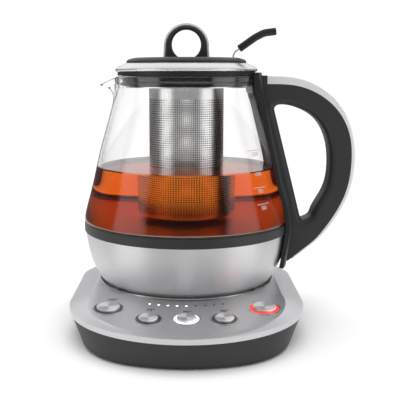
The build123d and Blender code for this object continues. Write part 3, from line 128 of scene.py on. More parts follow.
class TeaFinishSettings(bpy.types.PropertyGroup):
    """Colours of the tea maker's finishes."""

    silver: FloatVectorProperty(
        name="Silver lacquer", description="Top shell of the base", subtype="COLOR", size=3,
        default=linear("#cdcdd0"))
    dark: FloatVectorProperty(
        name="Dark plastic", description="Lower shell, lid cap and handle", subtype="COLOR", size=3,
        default=linear("#2b2b2d"))
    tea: FloatVectorProperty(
        name="Tea", description="Colour that light keeps after a short way through the tea",
        subtype="COLOR", size=3, default=linear("#f8c944"))
    tea_strength: FloatProperty(
        name="Tea strength", description="Absorption per metre of the tea", default=42.0, min=0.0)
    lit_white: FloatVectorProperty(
        name="White light", description="Lit indicators and the chosen tea's ring", subtype="COLOR", size=3,
        default=linear("#fdfdff"))
    lit_red: FloatVectorProperty(
        name="Red light", description="Ring of the start button", subtype="COLOR", size=3,
        default=linear("#f4382f"))
    lit_count: IntProperty(
        name="Lit indicators", description="How many of the nine indicators are lit", default=5, min=0, max=9)


class TeaStageSettings(bpy.types.PropertyGroup):
    """The studio round the tea maker."""

    floor: FloatVectorProperty(
        name="Floor", description="Colour of the floor", subtype="COLOR", size=3, default=linear("#fcfcfc"))
    backdrop: FloatProperty(
        name="Backdrop", description="Brightness of the white backdrop", default=1.06, min=0.0)
    room: FloatProperty(
        name="Room", description="Brightness of the dim parts of the studio", default=0.12, min=0.0)
    panels: FloatProperty(
        name="Panels", description="Brightness of the round panel at each side", default=1.5, min=0.0)
    panel_aim: FloatVectorProperty(
        name="Panel direction", description="Where the right panel hangs, seen from the object",
        subtype="DIRECTION", size=3, default=(0.91, -0.41, 0.08))
    ceiling: FloatProperty(
        name="Ceiling", description="Brightness of the lit ceiling", default=0.9, min=0.0)
    back_wall: FloatProperty(
        name="Back wall", description="Brightness of the wall behind the object", default=1.15, min=0.0)
    ground: FloatProperty(
        name="Ground", description="Brightness of the ground beyond the floor", default=0.8, min=0.0)
    top_light: FloatProperty(
        name="Top light", description="Power of the softbox overhead", default=7.5, min=0.0, unit="POWER")


# ---------------------------------------------------------------- nodes
def add(tree, kind, inputs=None, **settings):
    """Adds a node: settings are its own properties, inputs are values or links by socket."""
    node = tree.nodes.new(kind)
    for name, value in settings.items():
        setattr(node, name, value)
    for socket, value in (inputs or {}).items():
        if isinstance(value, bpy.types.NodeSocket):
            tree.links.new(value, node.inputs[socket])
        else:
            node.inputs[socket].default_value = value
    return node


def per_mm(size):
    """Texture scale at which one feature is about size millimetres."""
    return 1.0 / (size * MM)


def material(name, build):
    """The material of that name, built on first use. Build adds its nodes and returns its output's links."""
    made = bpy.data.materials.get(name)
    if made is None:
        made = bpy.data.materials.new(name)
        made.use_nodes = True
        made.node_tree.nodes.clear()
        add(made.node_tree, "ShaderNodeOutputMaterial", build(made.node_tree))
    return made


def moulded(tree, colour, roughness, grain, depth, spread=0.06, coat=0.0):
    """A moulded plastic or rubber: a grain of that size and depth in millimetres, and a slightly uneven gloss
    under a clear coat of that weight."""
    place = add(tree, "ShaderNodeTexCoord").outputs["Object"]
    fine = add(tree, "ShaderNodeTexNoise", {"Vector": place, "Scale": per_mm(grain), "Detail": 3.0})
    broad = add(tree, "ShaderNodeTexNoise", {"Vector": place, "Scale": per_mm(45.0), "Detail": 3.0})
    relief = add(tree, "ShaderNodeBump", {
        "Height": fine.outputs[0], "Strength": 0.35, "Distance": depth * MM})
    gloss = add(tree, "ShaderNodeMapRange", {
        "Value": broad.outputs[0], "From Min": 0.3, "From Max": 0.7,
        "To Min": roughness - spread, "To Max": roughness + spread})
    tone = add(tree, "ShaderNodeMix", {
        MIX_FACTOR: fine.outputs[0], MIX_A: opaque([0.86 * c for c in colour]),
        MIX_B: opaque([min(1.0, 1.12 * c) for c in colour])}, data_type="RGBA")
    plastic = add(tree, "ShaderNodeBsdfPrincipled", {
        "Base Color": tone.outputs[MIX_OUT], "Roughness": gloss.outputs[0], "Normal": relief.outputs[0],
        "IOR": 1.5, "Coat Weight": coat})
    return {"Surface": plastic.outputs[0]}


def brushed(tree, colour, roughness, line, stretch=(1.0, 1.0, 1.0), anisotropy=0.0):
    """A metal brushed round Z, its lines drawn out along the small axes of stretch. Real brush lines are
    about 0.1 mm wide: the width given here, in millimetres, is coarser, so that they show at all."""
    place = add(tree, "ShaderNodeTexCoord").outputs["Object"]
    drawn = add(tree, "ShaderNodeMapping", {"Vector": place, "Scale": stretch})
    lines = add(tree, "ShaderNodeTexNoise", {
        "Vector": drawn.outputs[0], "Scale": per_mm(line), "Detail": 4.0})
    broad = add(tree, "ShaderNodeTexNoise", {"Vector": place, "Scale": per_mm(30.0), "Detail": 2.0})
    relief = add(tree, "ShaderNodeBump", {
        "Height": lines.outputs[0], "Strength": 0.12, "Distance": 0.02 * MM})
    gloss = add(tree, "ShaderNodeMapRange", {
        "Value": lines.outputs[0], "From Min": 0.3, "From Max": 0.7,
        "To Min": 0.85 * roughness, "To Max": 1.15 * roughness})
    tone = add(tree, "ShaderNodeMix", {
        MIX_FACTOR: broad.outputs[0], MIX_A: opaque([0.94 * c for c in colour]),
        MIX_B: opaque([min(1.0, 1.04 * c) for c in colour])}, data_type="RGBA")
    round_z = add(tree, "ShaderNodeTangent", direction_type="RADIAL", axis="Z")
    metal = add(tree, "ShaderNodeBsdfPrincipled", {
        "Base Color": tone.outputs[MIX_OUT], "Metallic": 1.0, "Roughness": gloss.outputs[0],
        "Anisotropic": anisotropy, "Anisotropic Rotation": 0.25, "Tangent": round_z.outputs[0],
        "Normal": relief.outputs[0]})
    return {"Surface": metal.outputs[0]}


def lacquered(tree, dark, light, flake, gloss, metallic, coat, peel):
    """Lacquer with flakes of that size in millimetres, which vary its tone between dark and light, and its
    roughness between the two of gloss. The coat has a weight and a roughness, and peel is its waviness."""
    place = add(tree, "ShaderNodeTexCoord").outputs["Object"]
    flakes = add(tree, "ShaderNodeTexNoise", {"Vector": place, "Scale": per_mm(flake), "Detail": 2.0})
    waves = add(tree, "ShaderNodeTexNoise", {"Vector": place, "Scale": per_mm(6.0), "Detail": 1.0})
    rough = add(tree, "ShaderNodeMapRange", {
        "Value": flakes.outputs[0], "From Min": 0.3, "From Max": 0.7, "To Min": gloss[0], "To Max": gloss[1]})
    tone = add(tree, "ShaderNodeMix", {
        MIX_FACTOR: flakes.outputs[0], MIX_A: opaque(dark), MIX_B: opaque(light)}, data_type="RGBA")
    relief = add(tree, "ShaderNodeBump", {
        "Height": waves.outputs[0], "Strength": peel, "Distance": 0.02 * MM})
    lacquer = add(tree, "ShaderNodeBsdfPrincipled", {
        "Base Color": tone.outputs[MIX_OUT], "Metallic": metallic, "Roughness": rough.outputs[0],
        "Normal": relief.outputs[0], "Coat Weight": coat[0], "Coat Roughness": coat[1]})
    return {"Surface": lacquer.outputs[0]}


# ---------------------------------------------------------------- finishes
def silver_lacquer(tree):
    # Aluminium-flake lacquer sprayed on ABS: the flakes scatter light, so it is bright, soft and even.
    # The flakes are drawn at 0.5 mm, far coarser than real ones, so that they show.
    silver = bpy.context.scene.tea_finish.silver
    dark, light = [0.9 * c for c in silver], [min(1.0, 1.08 * c) for c in silver]
    return lacquered(tree, dark, light, flake=0.5, gloss=(0.3, 0.38), metallic=0.8,
                     coat=(0.15, 0.25), peel=0.1)


def dark_abs(tree):
    # Spark-eroded ABS: a fine matt grain that breaks up reflections, so it looks soft and charcoal grey.
    return moulded(tree, bpy.context.scene.tea_finish.dark, 0.52, grain=0.35, depth=0.03)


def black_polypropylene(tree):
    # Smooth moulded polypropylene: darker and a little waxy, with broad soft highlights.
    return moulded(tree, linear("#1f1f21"), 0.34, grain=0.9, depth=0.02)


def natural_rubber(tree):
    # Moulded rubber: matt, with dust-grey high spots.
    return moulded(tree, linear("#262627"), 0.82, grain=0.6, depth=0.05, spread=0.04)


def smoked_nylon(tree):
    # Glass-filled nylon of the band: satin charcoal, which takes a soft grey sheen.
    return moulded(tree, linear("#202022"), 0.42, grain=0.5, depth=0.02)


def silicone(tree):
    # Cured silicone: matt black, with soft broad highlights on its lips.
    return moulded(tree, linear("#0c0c0d"), 0.5, grain=0.8, depth=0.02)


def spun_stainless(tree):
    # Stainless steel brushed as it turns: rings round the bowl draw highlights upwards into a soft glow.
    return brushed(tree, linear("#dbdadb"), 0.42, line=0.35, stretch=(0.02, 0.02, 1.0), anisotropy=0.85)


def polished_stainless(tree):
    # Polished stainless steel: bright, soft-edged reflections with faint buffing lines.
    return brushed(tree, linear("#d8d8d8"), 0.27, line=0.6, stretch=(0.05, 0.05, 1.0), anisotropy=0.1)


def dulled_stainless(tree):
    # Stainless heating plate, stained straw brown by heat and tea: it keeps the tea over it deep and red.
    return brushed(tree, linear("#d6a48b"), 0.42, line=0.6)


def perforated_stainless(tree):
    # Rolled stainless sheet of the sieve: bright satin, its reflections broken by the holes.
    return brushed(tree, linear("#ebebea"), 0.3, line=0.5, stretch=(1.0, 1.0, 0.05))


def shade_darkened_stainless(tree):
    # The sieve's inside and the walls of its holes: dull brown grey, painted shade that makes the holes look
    # dark.
    return brushed(tree, linear("#3a342f"), 0.45, line=0.5, stretch=(1.0, 1.0, 0.05))


def pale_silver_lacquer(tree):
    # Pale silver lacquer sprayed on the handle's ABS strip: a satin coat over flakes keeps it light.
    # The flakes are drawn at 0.4 mm, coarser than real ones, so that they show.
    return lacquered(tree, linear("#e8e8ea"), linear("#f8f8fa"), flake=0.4, gloss=(0.34, 0.42), metallic=0.2,
                     coat=(0.2, 0.2), peel=0.0)


def spun_aluminium(centre, axis):
    """A finish for a cap that is faced on a lathe about that axis."""
    def build(tree):
        # Aluminium faced on a lathe: its rings spread the light into bright and dark fans about the centre.
        # The fans are painted highlights and painted shade in its tone, because soft light alone hardly shows
        # them, and the rings are
        # 0.4 mm apart, coarser than real tool lines, so that they show.
        place = add(tree, "ShaderNodeTexCoord").outputs["Object"]
        spoke = add(tree, "ShaderNodeVectorMath", {0: place, 1: centre}, operation="SUBTRACT")
        ring = add(tree, "ShaderNodeVectorMath", {0: axis, 1: spoke.outputs[0]}, operation="CROSS_PRODUCT")
        way = add(tree, "ShaderNodeVectorMath", {0: ring.outputs[0]}, operation="NORMALIZE")
        # Painted highlight and painted shade: the tone is lighter where the rings run this way and darker
        # elsewhere, whatever the lights.
        highlight_way = (0.62, 0.78, 0.0)     # which way the rings run in the bright fans
        share = add(tree, "ShaderNodeVectorMath", {0: way.outputs[0], 1: highlight_way}, operation="DOT_PRODUCT")
        painted_fan = add(tree, "ShaderNodeMath", {0: share.outputs["Value"], 1: 2.0}, operation="POWER")
        soft = add(tree, "ShaderNodeMapRange", {
            "Value": painted_fan.outputs[0], "From Min": 0.1, "From Max": 0.85}, interpolation_type="SMOOTHSTEP")
        tone = add(tree, "ShaderNodeMix", {
            MIX_FACTOR: soft.outputs[0], MIX_A: opaque(linear("#bebec1")), MIX_B: opaque(linear("#fbfbfc"))},
            data_type="RGBA")
        reach = add(tree, "ShaderNodeVectorMath", {0: spoke.outputs[0]}, operation="LENGTH")
        turns = add(tree, "ShaderNodeMath", {
            0: reach.outputs["Value"], 1: FULL_TURN * per_mm(0.4)}, operation="MULTIPLY")
        cut = add(tree, "ShaderNodeMath", {0: turns.outputs[0]}, operation="SINE")
        relief = add(tree, "ShaderNodeBump", {
            "Height": cut.outputs[0], "Strength": 0.1, "Distance": 0.01 * MM})
        metal = add(tree, "ShaderNodeBsdfPrincipled", {
            "Base Color": tone.outputs[MIX_OUT], "Metallic": 0.72, "Roughness": 0.3, "Anisotropic": 0.6,
            "Anisotropic Rotation": 0.25, "Tangent": way.outputs[0], "Normal": relief.outputs[0]})
        return {"Surface": metal.outputs[0]}
    return build


def zinc_plated_steel(tree):
    # Zinc-plated screws: bright and slightly clouded.
    return brushed(tree, linear("#b4b4b2"), 0.3, line=1.2)


def turned_brass(tree):
    # Turned brass contacts: warm metal with tool lines.
    return brushed(tree, linear("#d9b46a"), 0.25, line=0.4, stretch=(0.1, 0.1, 1.0), anisotropy=0.2)


def clear(tree, ior):
    """A clear body of that index."""
    body = add(tree, "ShaderNodeBsdfPrincipled", {
        "Base Color": (1.0, 1.0, 1.0, 1.0), "Transmission Weight": 1.0, "Roughness": 0.0, "IOR": ior})
    return {"Surface": body.outputs[0]}


def borosilicate(tree):
    # Borosilicate glass in air: clear and hard, its edges darker where light runs along the wall.
    return clear(tree, 1.47)


def wetted_borosilicate(tree):
    # The glass's inside where tea wets it: the step from 1.47 to 1.333 hardly reflects.
    return clear(tree, 1.47 / 1.333)


def water_surface(tree):
    # The tea's free surface: water, which mirrors the wall behind it at a low angle.
    return clear(tree, 1.333)


def brewed_tea(tree):
    # The body of the tea: it swallows blue and green, so thin parts are orange and deep ones dark red.
    # Glass and surface bend the light for it, so it has no index step of its own.
    finish = bpy.context.scene.tea_finish
    tint = add(tree, "ShaderNodeVolumeAbsorption", {
        "Color": opaque(finish.tea), "Density": finish.tea_strength})
    return {**clear(tree, 1.0), "Volume": tint.outputs[0]}


def smoked_acrylic(tree):
    # Unlit acrylic light guide: a dark glossy groove under the metal bezel.
    return moulded(tree, linear("#2e2e31"), 0.22, grain=1.5, depth=0.01, coat=0.4)


def glowing(colour, strength):
    """A finish for a lit light guide of that colour."""
    def build(tree):
        # Lit acrylic: an even glow, weaker where its surface turns away.
        edge = add(tree, "ShaderNodeLayerWeight", {"Blend": 0.35})
        glow = add(tree, "ShaderNodeMapRange", {
            "Value": edge.outputs["Facing"], "To Min": strength, "To Max": 0.6 * strength})
        guide = add(tree, "ShaderNodeBsdfPrincipled", {
            "Base Color": opaque(colour), "Roughness": 0.3, "IOR": 1.49,
            "Emission Color": opaque(colour), "Emission Strength": glow.outputs[0]})
        return {"Surface": guide.outputs[0]}
    return build


def indicator_acrylic(tree):
    # One acrylic light guide: its first tips are lit white, and the rest are dark rings in the panel.
    finish = bpy.context.scene.tea_finish
    pitch, middle = 6.95 * MM, 5     # the fifth of the nine tips stands at X = 0
    boundary = (finish.lit_count - middle + 0.5) * pitch
    place = add(tree, "ShaderNodeTexCoord").outputs["Object"]
    across = add(tree, "ShaderNodeSeparateXYZ", {0: place})
    lit = add(tree, "ShaderNodeMath", {0: across.outputs["X"], 1: boundary}, operation="LESS_THAN")
    tone = add(tree, "ShaderNodeMix", {
        MIX_FACTOR: lit.outputs[0], MIX_A: opaque(linear("#2c2d30")), MIX_B: opaque(finish.lit_white)},
        data_type="RGBA")
    glow = add(tree, "ShaderNodeMath", {0: lit.outputs[0], 1: 1.3}, operation="MULTIPLY")
    guide = add(tree, "ShaderNodeBsdfPrincipled", {
        "Base Color": tone.outputs[MIX_OUT], "Roughness": 0.2, "IOR": 1.49,
        "Emission Color": opaque(finish.lit_white), "Emission Strength": glow.outputs[0]})
    return {"Surface": guide.outputs[0]}


def solder_mask(tree):
    # Printed circuit board: green solder mask with paler copper tracks under it.
    place = add(tree, "ShaderNodeTexCoord").outputs["Object"]
    tracks = add(tree, "ShaderNodeTexBrick", {
        "Vector": place, "Color1": opaque(linear("#0f5a34")), "Color2": opaque(linear("#125f39")),
        "Mortar": opaque(linear("#2f8a57")), "Scale": per_mm(9.0), "Mortar Size": 0.03})
    mask = add(tree, "ShaderNodeBsdfPrincipled", {
        "Base Color": tracks.outputs[0], "Roughness": 0.35, "IOR": 1.55, "Coat Weight": 0.3})
    return {"Surface": mask.outputs[0]}


def epoxy_moulding(tree):
    # Moulded epoxy of relays and switches: near-black with a faint grain.
    return moulded(tree, linear("#1a1a1c"), 0.42, grain=0.5, depth=0.02)


def glass_ink(tree):
    # Fired ceramic ink on the glass: a thin, chalky off-white film.
    return moulded(tree, linear("#c6c2c0"), 0.55, grain=0.3, depth=0.01)


def panel_ink(tree):
    # Pad-printed ink on the lacquer: matt charcoal.
    return moulded(tree, linear("#1b1b1e"), 0.6, grain=0.3, depth=0.01)


SLOT_FINISHES = {
    "silver_shell": ("Silver lacquer on ABS", silver_lacquer),
    "dark_plastic": ("Spark-eroded ABS", dark_abs),
    "black_plastic": ("Smooth polypropylene", black_polypropylene),
    "foot_rubber": ("Moulded rubber", natural_rubber),
    "bowl_steel": ("Spun stainless steel", spun_stainless),
    "polished_steel": ("Polished stainless steel", polished_stainless),
    "mesh_steel": ("Perforated stainless steel", perforated_stainless),
    "jug_glass": ("Borosilicate glass", borosilicate),
    "band_plastic": ("Satin nylon", smoked_nylon),
    "silicone": ("Cured silicone", silicone),
    "handle_silver": ("Pale silver lacquer on ABS", pale_silver_lacquer),
    "light_ring": ("Smoked acrylic", smoked_acrylic),
    "circuit_board": ("Solder-masked board", solder_mask),
    "screw_steel": ("Zinc-plated steel", zinc_plated_steel),
    "contact_brass": ("Turned brass", turned_brass),
    "component_black": ("Moulded epoxy", epoxy_moulding),
}


def slot_finish(slot):
    return material(*SLOT_FINISHES[slot])


def dress(finish, *names):
    """Gives CAD nodes a finish."""
    for name in names:
        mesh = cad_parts[name].data
        mesh.materials.clear()
        mesh.materials.append(finish)


def dress_by_slot(**nodes):
    """Gives each slot's finish to the CAD nodes named after it."""
    for slot, names in nodes.items():
        dress(slot_finish(slot), *names.split())


def soften(names, width, angle=25.0):
    """Rounds the sharp edges of CAD nodes by width millimetres."""
    for name in names:
        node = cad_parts[name]
        weld = node.modifiers.new("Weld", "WELD")
        weld.merge_threshold = 0.002 * MM
        bevel = node.modifiers.new("Rounded edges", "BEVEL")
        bevel.width = width * MM
        bevel.segments = 3
        bevel.limit_method = "ANGLE"
        bevel.angle_limit = math.radians(angle)
        bevel.use_clamp_overlap = True
        flow = node.modifiers.new("Even shading", "WEIGHTED_NORMAL")
        flow.keep_sharp = True


# ---------------------------------------------------------------- shapes
def ring(points):
    """The section of a ring about Z: (radius, height) points in millimetres, as places in the XZ plane."""
    return [Vector((r * MM, 0.0, z * MM)) for r, z in points]


def upright_line(points, steps):
    """A smooth line through (radius, height) points in millimetres, as places in the XZ plane."""
    spots = ring(points)
    line = []
    for k in range(len(spots) - 1):
        here, there = spots[k], spots[k + 1]
        before, after = spots[max(k - 1, 0)], spots[min(k + 2, len(spots) - 1)]
        leave, arrive = here + (there - before) / 6, there - (after - here) / 6
        line += interpolate_bezier(here, leave, arrive, there, steps + 1)[:-1]
    return line + [spots[-1]]


def radius_at(line, height):
    """Radius of an upright line at a height, both in metres."""
    for low, high in zip(line, line[1:]):
        if min(low.z, high.z) <= height <= max(low.z, high.z) and low.z != high.z:
            return low.x + (high.x - low.x) * (height - low.z) / (high.z - low.z)
    return min(line, key=lambda spot: abs(spot.z - height)).x


def spin_line(bm, line, steps, closed=False, angle=FULL_TURN, start=0.0):
    """Turns a line of places about Z."""
    verts = [bm.verts.new(spot) for spot in line]
    pairs = list(zip(verts, verts[1:])) + ([(verts[-1], verts[0])] if closed else [])
    edges = [bm.edges.new(pair) for pair in pairs]
    if start:
        bmesh.ops.rotate(bm, verts=verts, cent=(0, 0, 0), matrix=Matrix.Rotation(start, 3, "Z"))
    full = angle == FULL_TURN
    bmesh.ops.spin(bm, geom=verts + edges, cent=(0, 0, 0), axis=(0, 0, 1), angle=angle, steps=steps,
                   use_merge=full)


def seal(bm, apart=0.0005):
    """Merges doubles and points every face outwards."""
    bmesh.ops.remove_doubles(bm, verts=bm.verts[:], dist=apart * MM)
    bmesh.ops.recalc_face_normals(bm, faces=bm.faces[:])


def piece(name, bm, body, slot=None, finish=None, stands_for=(), sharp=40.0):
    """Makes an object of a bmesh, gives it a finish or its slot's, and lets it ride on a body."""
    mesh = bpy.data.meshes.new(name)
    bm.to_mesh(mesh)
    bm.free()
    mesh.materials.append(finish or slot_finish(slot))
    mesh.shade_smooth()
    mesh.set_sharp_from_angle(angle=math.radians(sharp))
    made = bpy.data.objects.new(name, mesh)
    bpy.context.scene.collection.objects.link(made)
    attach(made, body)
    if stands_for:
        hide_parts(*stands_for)
    return made


def words(text, height, thick):
    """A bmesh of flat lettering round the origin, in the XY plane, height metres tall, slightly bold."""
    curve = bpy.data.curves.new("lettering", "FONT")
    curve.body = text
    curve.size = height
    curve.align_x = "CENTER"
    curve.align_y = "CENTER"
    curve.extrude = thick / 2
    curve.offset = 0.02 * height
    curve.resolution_u = 3
    holder = bpy.data.objects.new("lettering", curve)
    bpy.context.scene.collection.objects.link(holder)
    bpy.context.view_layer.update()
    mesh = bpy.data.meshes.new_from_object(holder)
    bm = bmesh.new()
    bm.from_mesh(mesh)
    bpy.data.objects.remove(holder)
    bpy.data.curves.remove(curve)
    bpy.data.meshes.remove(mesh)
    return bm


def lay_copy(bm, geometry, way):
    """Copies part of a bmesh and moves the copy."""
    copied = bmesh.ops.duplicate(bm, geom=geometry)["geom"]
    verts = [item for item in copied if isinstance(item, bmesh.types.BMVert)]
    bmesh.ops.translate(bm, verts=verts, vec=way)


def join(bm, other):
    """Adds another bmesh to bm and frees it."""
    mesh = bpy.data.meshes.new("joined")
    other.to_mesh(mesh)
    other.free()
    bm.from_mesh(mesh)
    bpy.data.meshes.remove(mesh)


# ---------------------------------------------------------------- jug
class TEA_OT_jug_glass(bpy.types.Operator):
    """Blow the jug's glass: one wall with a fire-polished rim and a pulled spout"""

    bl_idname = "tea.jug_glass"
    bl_label = "Jug glass"

    def execute(self, context):
        jug = context.scene.tea_jug
        outer = upright_line(GLASS_LINE, 8)
        inner = [Vector((spot.x - GLASS_WALL * MM, 0.0, spot.z)) for spot in outer]
        bead = jug.rim_bead
        crown = [Vector((outer[-1].x - bead + bead * math.cos(a), 0.0, outer[-1].z + bead * math.sin(a)))
                 for a in (math.radians(turn) for turn in range(15, 180, 15))]
        bm = bmesh.new()
        spin_line(bm, outer + crown + inner[::-1], steps=192, closed=True)
        self.pull_spout(bm, jug)
        seal(bm)
        wet = jug.tea_level + jug.meniscus
        for face in bm.faces:
            spot = face.calc_center_median()
            if spot.z < wet and face.normal.dot(Vector((spot.x, spot.y, 0))) < 0:
                face.material_index = 1
        made = piece("jug_glass", bm, "jug", "jug_glass", stands_for=["glass_body"], sharp=60)
        made.data.materials.append(material("Wetted borosilicate glass", wetted_borosilicate))
        return {"FINISHED"}

    def pull_spout(self, bm, jug):
        """Draws the wall out towards -X: the lip goes furthest and droops, its root fades into the cone."""
        root, top = 171.0 * MM, 201.0 * MM
        half_angle = math.radians(15)
        fold = 1.35     # how sharply the spout folds along its middle
        for vert in bm.verts:
            turn = abs(math.atan2(vert.co.y, -vert.co.x)) / half_angle
            rise = (vert.co.z - root) / (top - root)
            if turn >= 1 or rise <= 0:
                continue
            share = (0.5 + 0.5 * math.cos(math.pi * turn)) ** fold
            outward = Vector((vert.co.x, vert.co.y, 0)).normalized()
            vert.co += outward * jug.spout_reach * share * rise ** 3
            vert.co.z -= jug.spout_drop * share * rise ** 3


class TEA_OT_tea(bpy.types.Operator):
    """Fill the jug with tea up to its level, a little way into the glass so that no air shows between"""

    bl_idname = "tea.brew"
    bl_label = "Tea"

    # way in from the glass in millimetres, then the share of the climb that the tea still has there
    climb = ((0.0, 1.0), (0.35, 0.62), (0.9, 0.32), (1.8, 0.11), (3.2, 0.0), (6.0, 0.0), (12.0, 0.0))

    def execute(self, context):
        jug = context.scene.tea_jug
        level = jug.tea_level
        sunk = 0.12 * MM
        inward = GLASS_WALL * MM - sunk
        wall = [Vector((spot.x - inward, 0.0, spot.z)) for spot in upright_line(GLASS_LINE, 8)]
        edge = level + jug.meniscus
        foot, head = 83.5 * MM, edge - 0.5 * MM
        side = [spot for spot in wall if foot < spot.z < head]
        rim_r = radius_at(wall, edge)
        top = [Vector((rim_r - way * MM, 0, level + jug.meniscus * share)) for way, share in self.climb]
        top.append(Vector((0, 0, level)))
        bm = bmesh.new()
        spin_line(bm, ring(TEA_BED) + side + top, steps=128)
        seal(bm, 0.01)
        piece("tea", bm, "jug", finish=material("Brewed tea", brewed_tea), sharp=50)
        bm = bmesh.new()
        spin_line(bm, top, steps=128)
        seal(bm, 0.01)
        bmesh.ops.translate(bm, verts=bm.verts[:], vec=(0, 0, FILM * MM))
        piece("tea_surface", bm, "jug", finish=material("Water surface", water_surface), sharp=50)
        return {"FINISHED"}


class TEA_OT_level_marks(bpy.types.Operator):
    """Print the level lines and their numbers on the glass"""

    bl_idname = "tea.level_marks"
    bl_label = "Level marks"

    # number, then the height of its line above the table in millimetres
    marks = (("1200", 144.4), ("1000", 129.3), ("750", 116.2), ("500", 103.6))
    bearing = math.radians(-42.5)     # round Z from +X
    line_width = 0.55 * MM

    def execute(self, context):
        jug = context.scene.tea_jug
        glass = upright_line(GLASS_LINE, 8)
        below = 0.72 * jug.mark_height
        bm = bmesh.new()
        for number, height in self.marks:
            self.line(bm, glass, height * MM, jug.mark_length)
            self.number(bm, glass, number, height * MM - below, jug.mark_height)
        piece("level_marks", bm, "jug", finish=material("Ceramic ink", glass_ink))
        return {"FINISHED"}

    def wrap(self, verts, glass, height):
        """Lays a flat drawing on the glass: x goes round, y up, z outwards."""
        for vert in verts:
            x, y, out = vert.co
            radius = radius_at(glass, height + y) + out + 1.5 * FILM * MM
            angle = self.bearing + x / radius
            vert.co = (radius * math.cos(angle), radius * math.sin(angle), height + y)

    def line(self, bm, glass, height, length):
        made = bmesh.ops.create_grid(bm, x_segments=24, y_segments=1, size=0.5)
        bmesh.ops.scale(bm, verts=made["verts"], vec=(length, self.line_width, 1))
        self.wrap(made["verts"], glass, height)

    def number(self, bm, glass, text, height, size):
        lettering = words(text, size, FILM * MM)
        self.wrap(lettering.verts, glass, height)
        join(bm, lettering)


class TEA_OT_jug_body(bpy.types.Operator):
    """Finish the steel bowl, band, gasket, heater and cover of the jug"""

    bl_idname = "tea.jug_body"
    bl_label = "Jug body"

    def execute(self, context):
        dress_by_slot(
            bowl_steel="lower_bowl", band_plastic="seal_band", silicone="glass_gasket",
            black_plastic="bottom_cover jug_connector_body", component_black="thermal_cutout",
            polished_steel="heating_element neck_clamp_pad", screw_steel="cover_screws handle_screws",
            contact_brass="temperature_sensor jug_connector_rings")
        dulled = material("Dulled stainless steel", dulled_stainless)
        dress(dulled, "heating_plate")
        self.plate_rim(dulled)
        return {"FINISHED"}

    def plate_rim(self, finish):
        """The heating plate's upturned rim: a plain slope that throws light down from above."""
        bm = bmesh.new()
        spin_line(bm, ring(PLATE_SLOPE), steps=160, closed=True)
        seal(bm)
        piece("plate_rim", bm, "jug", finish=finish, sharp=30)


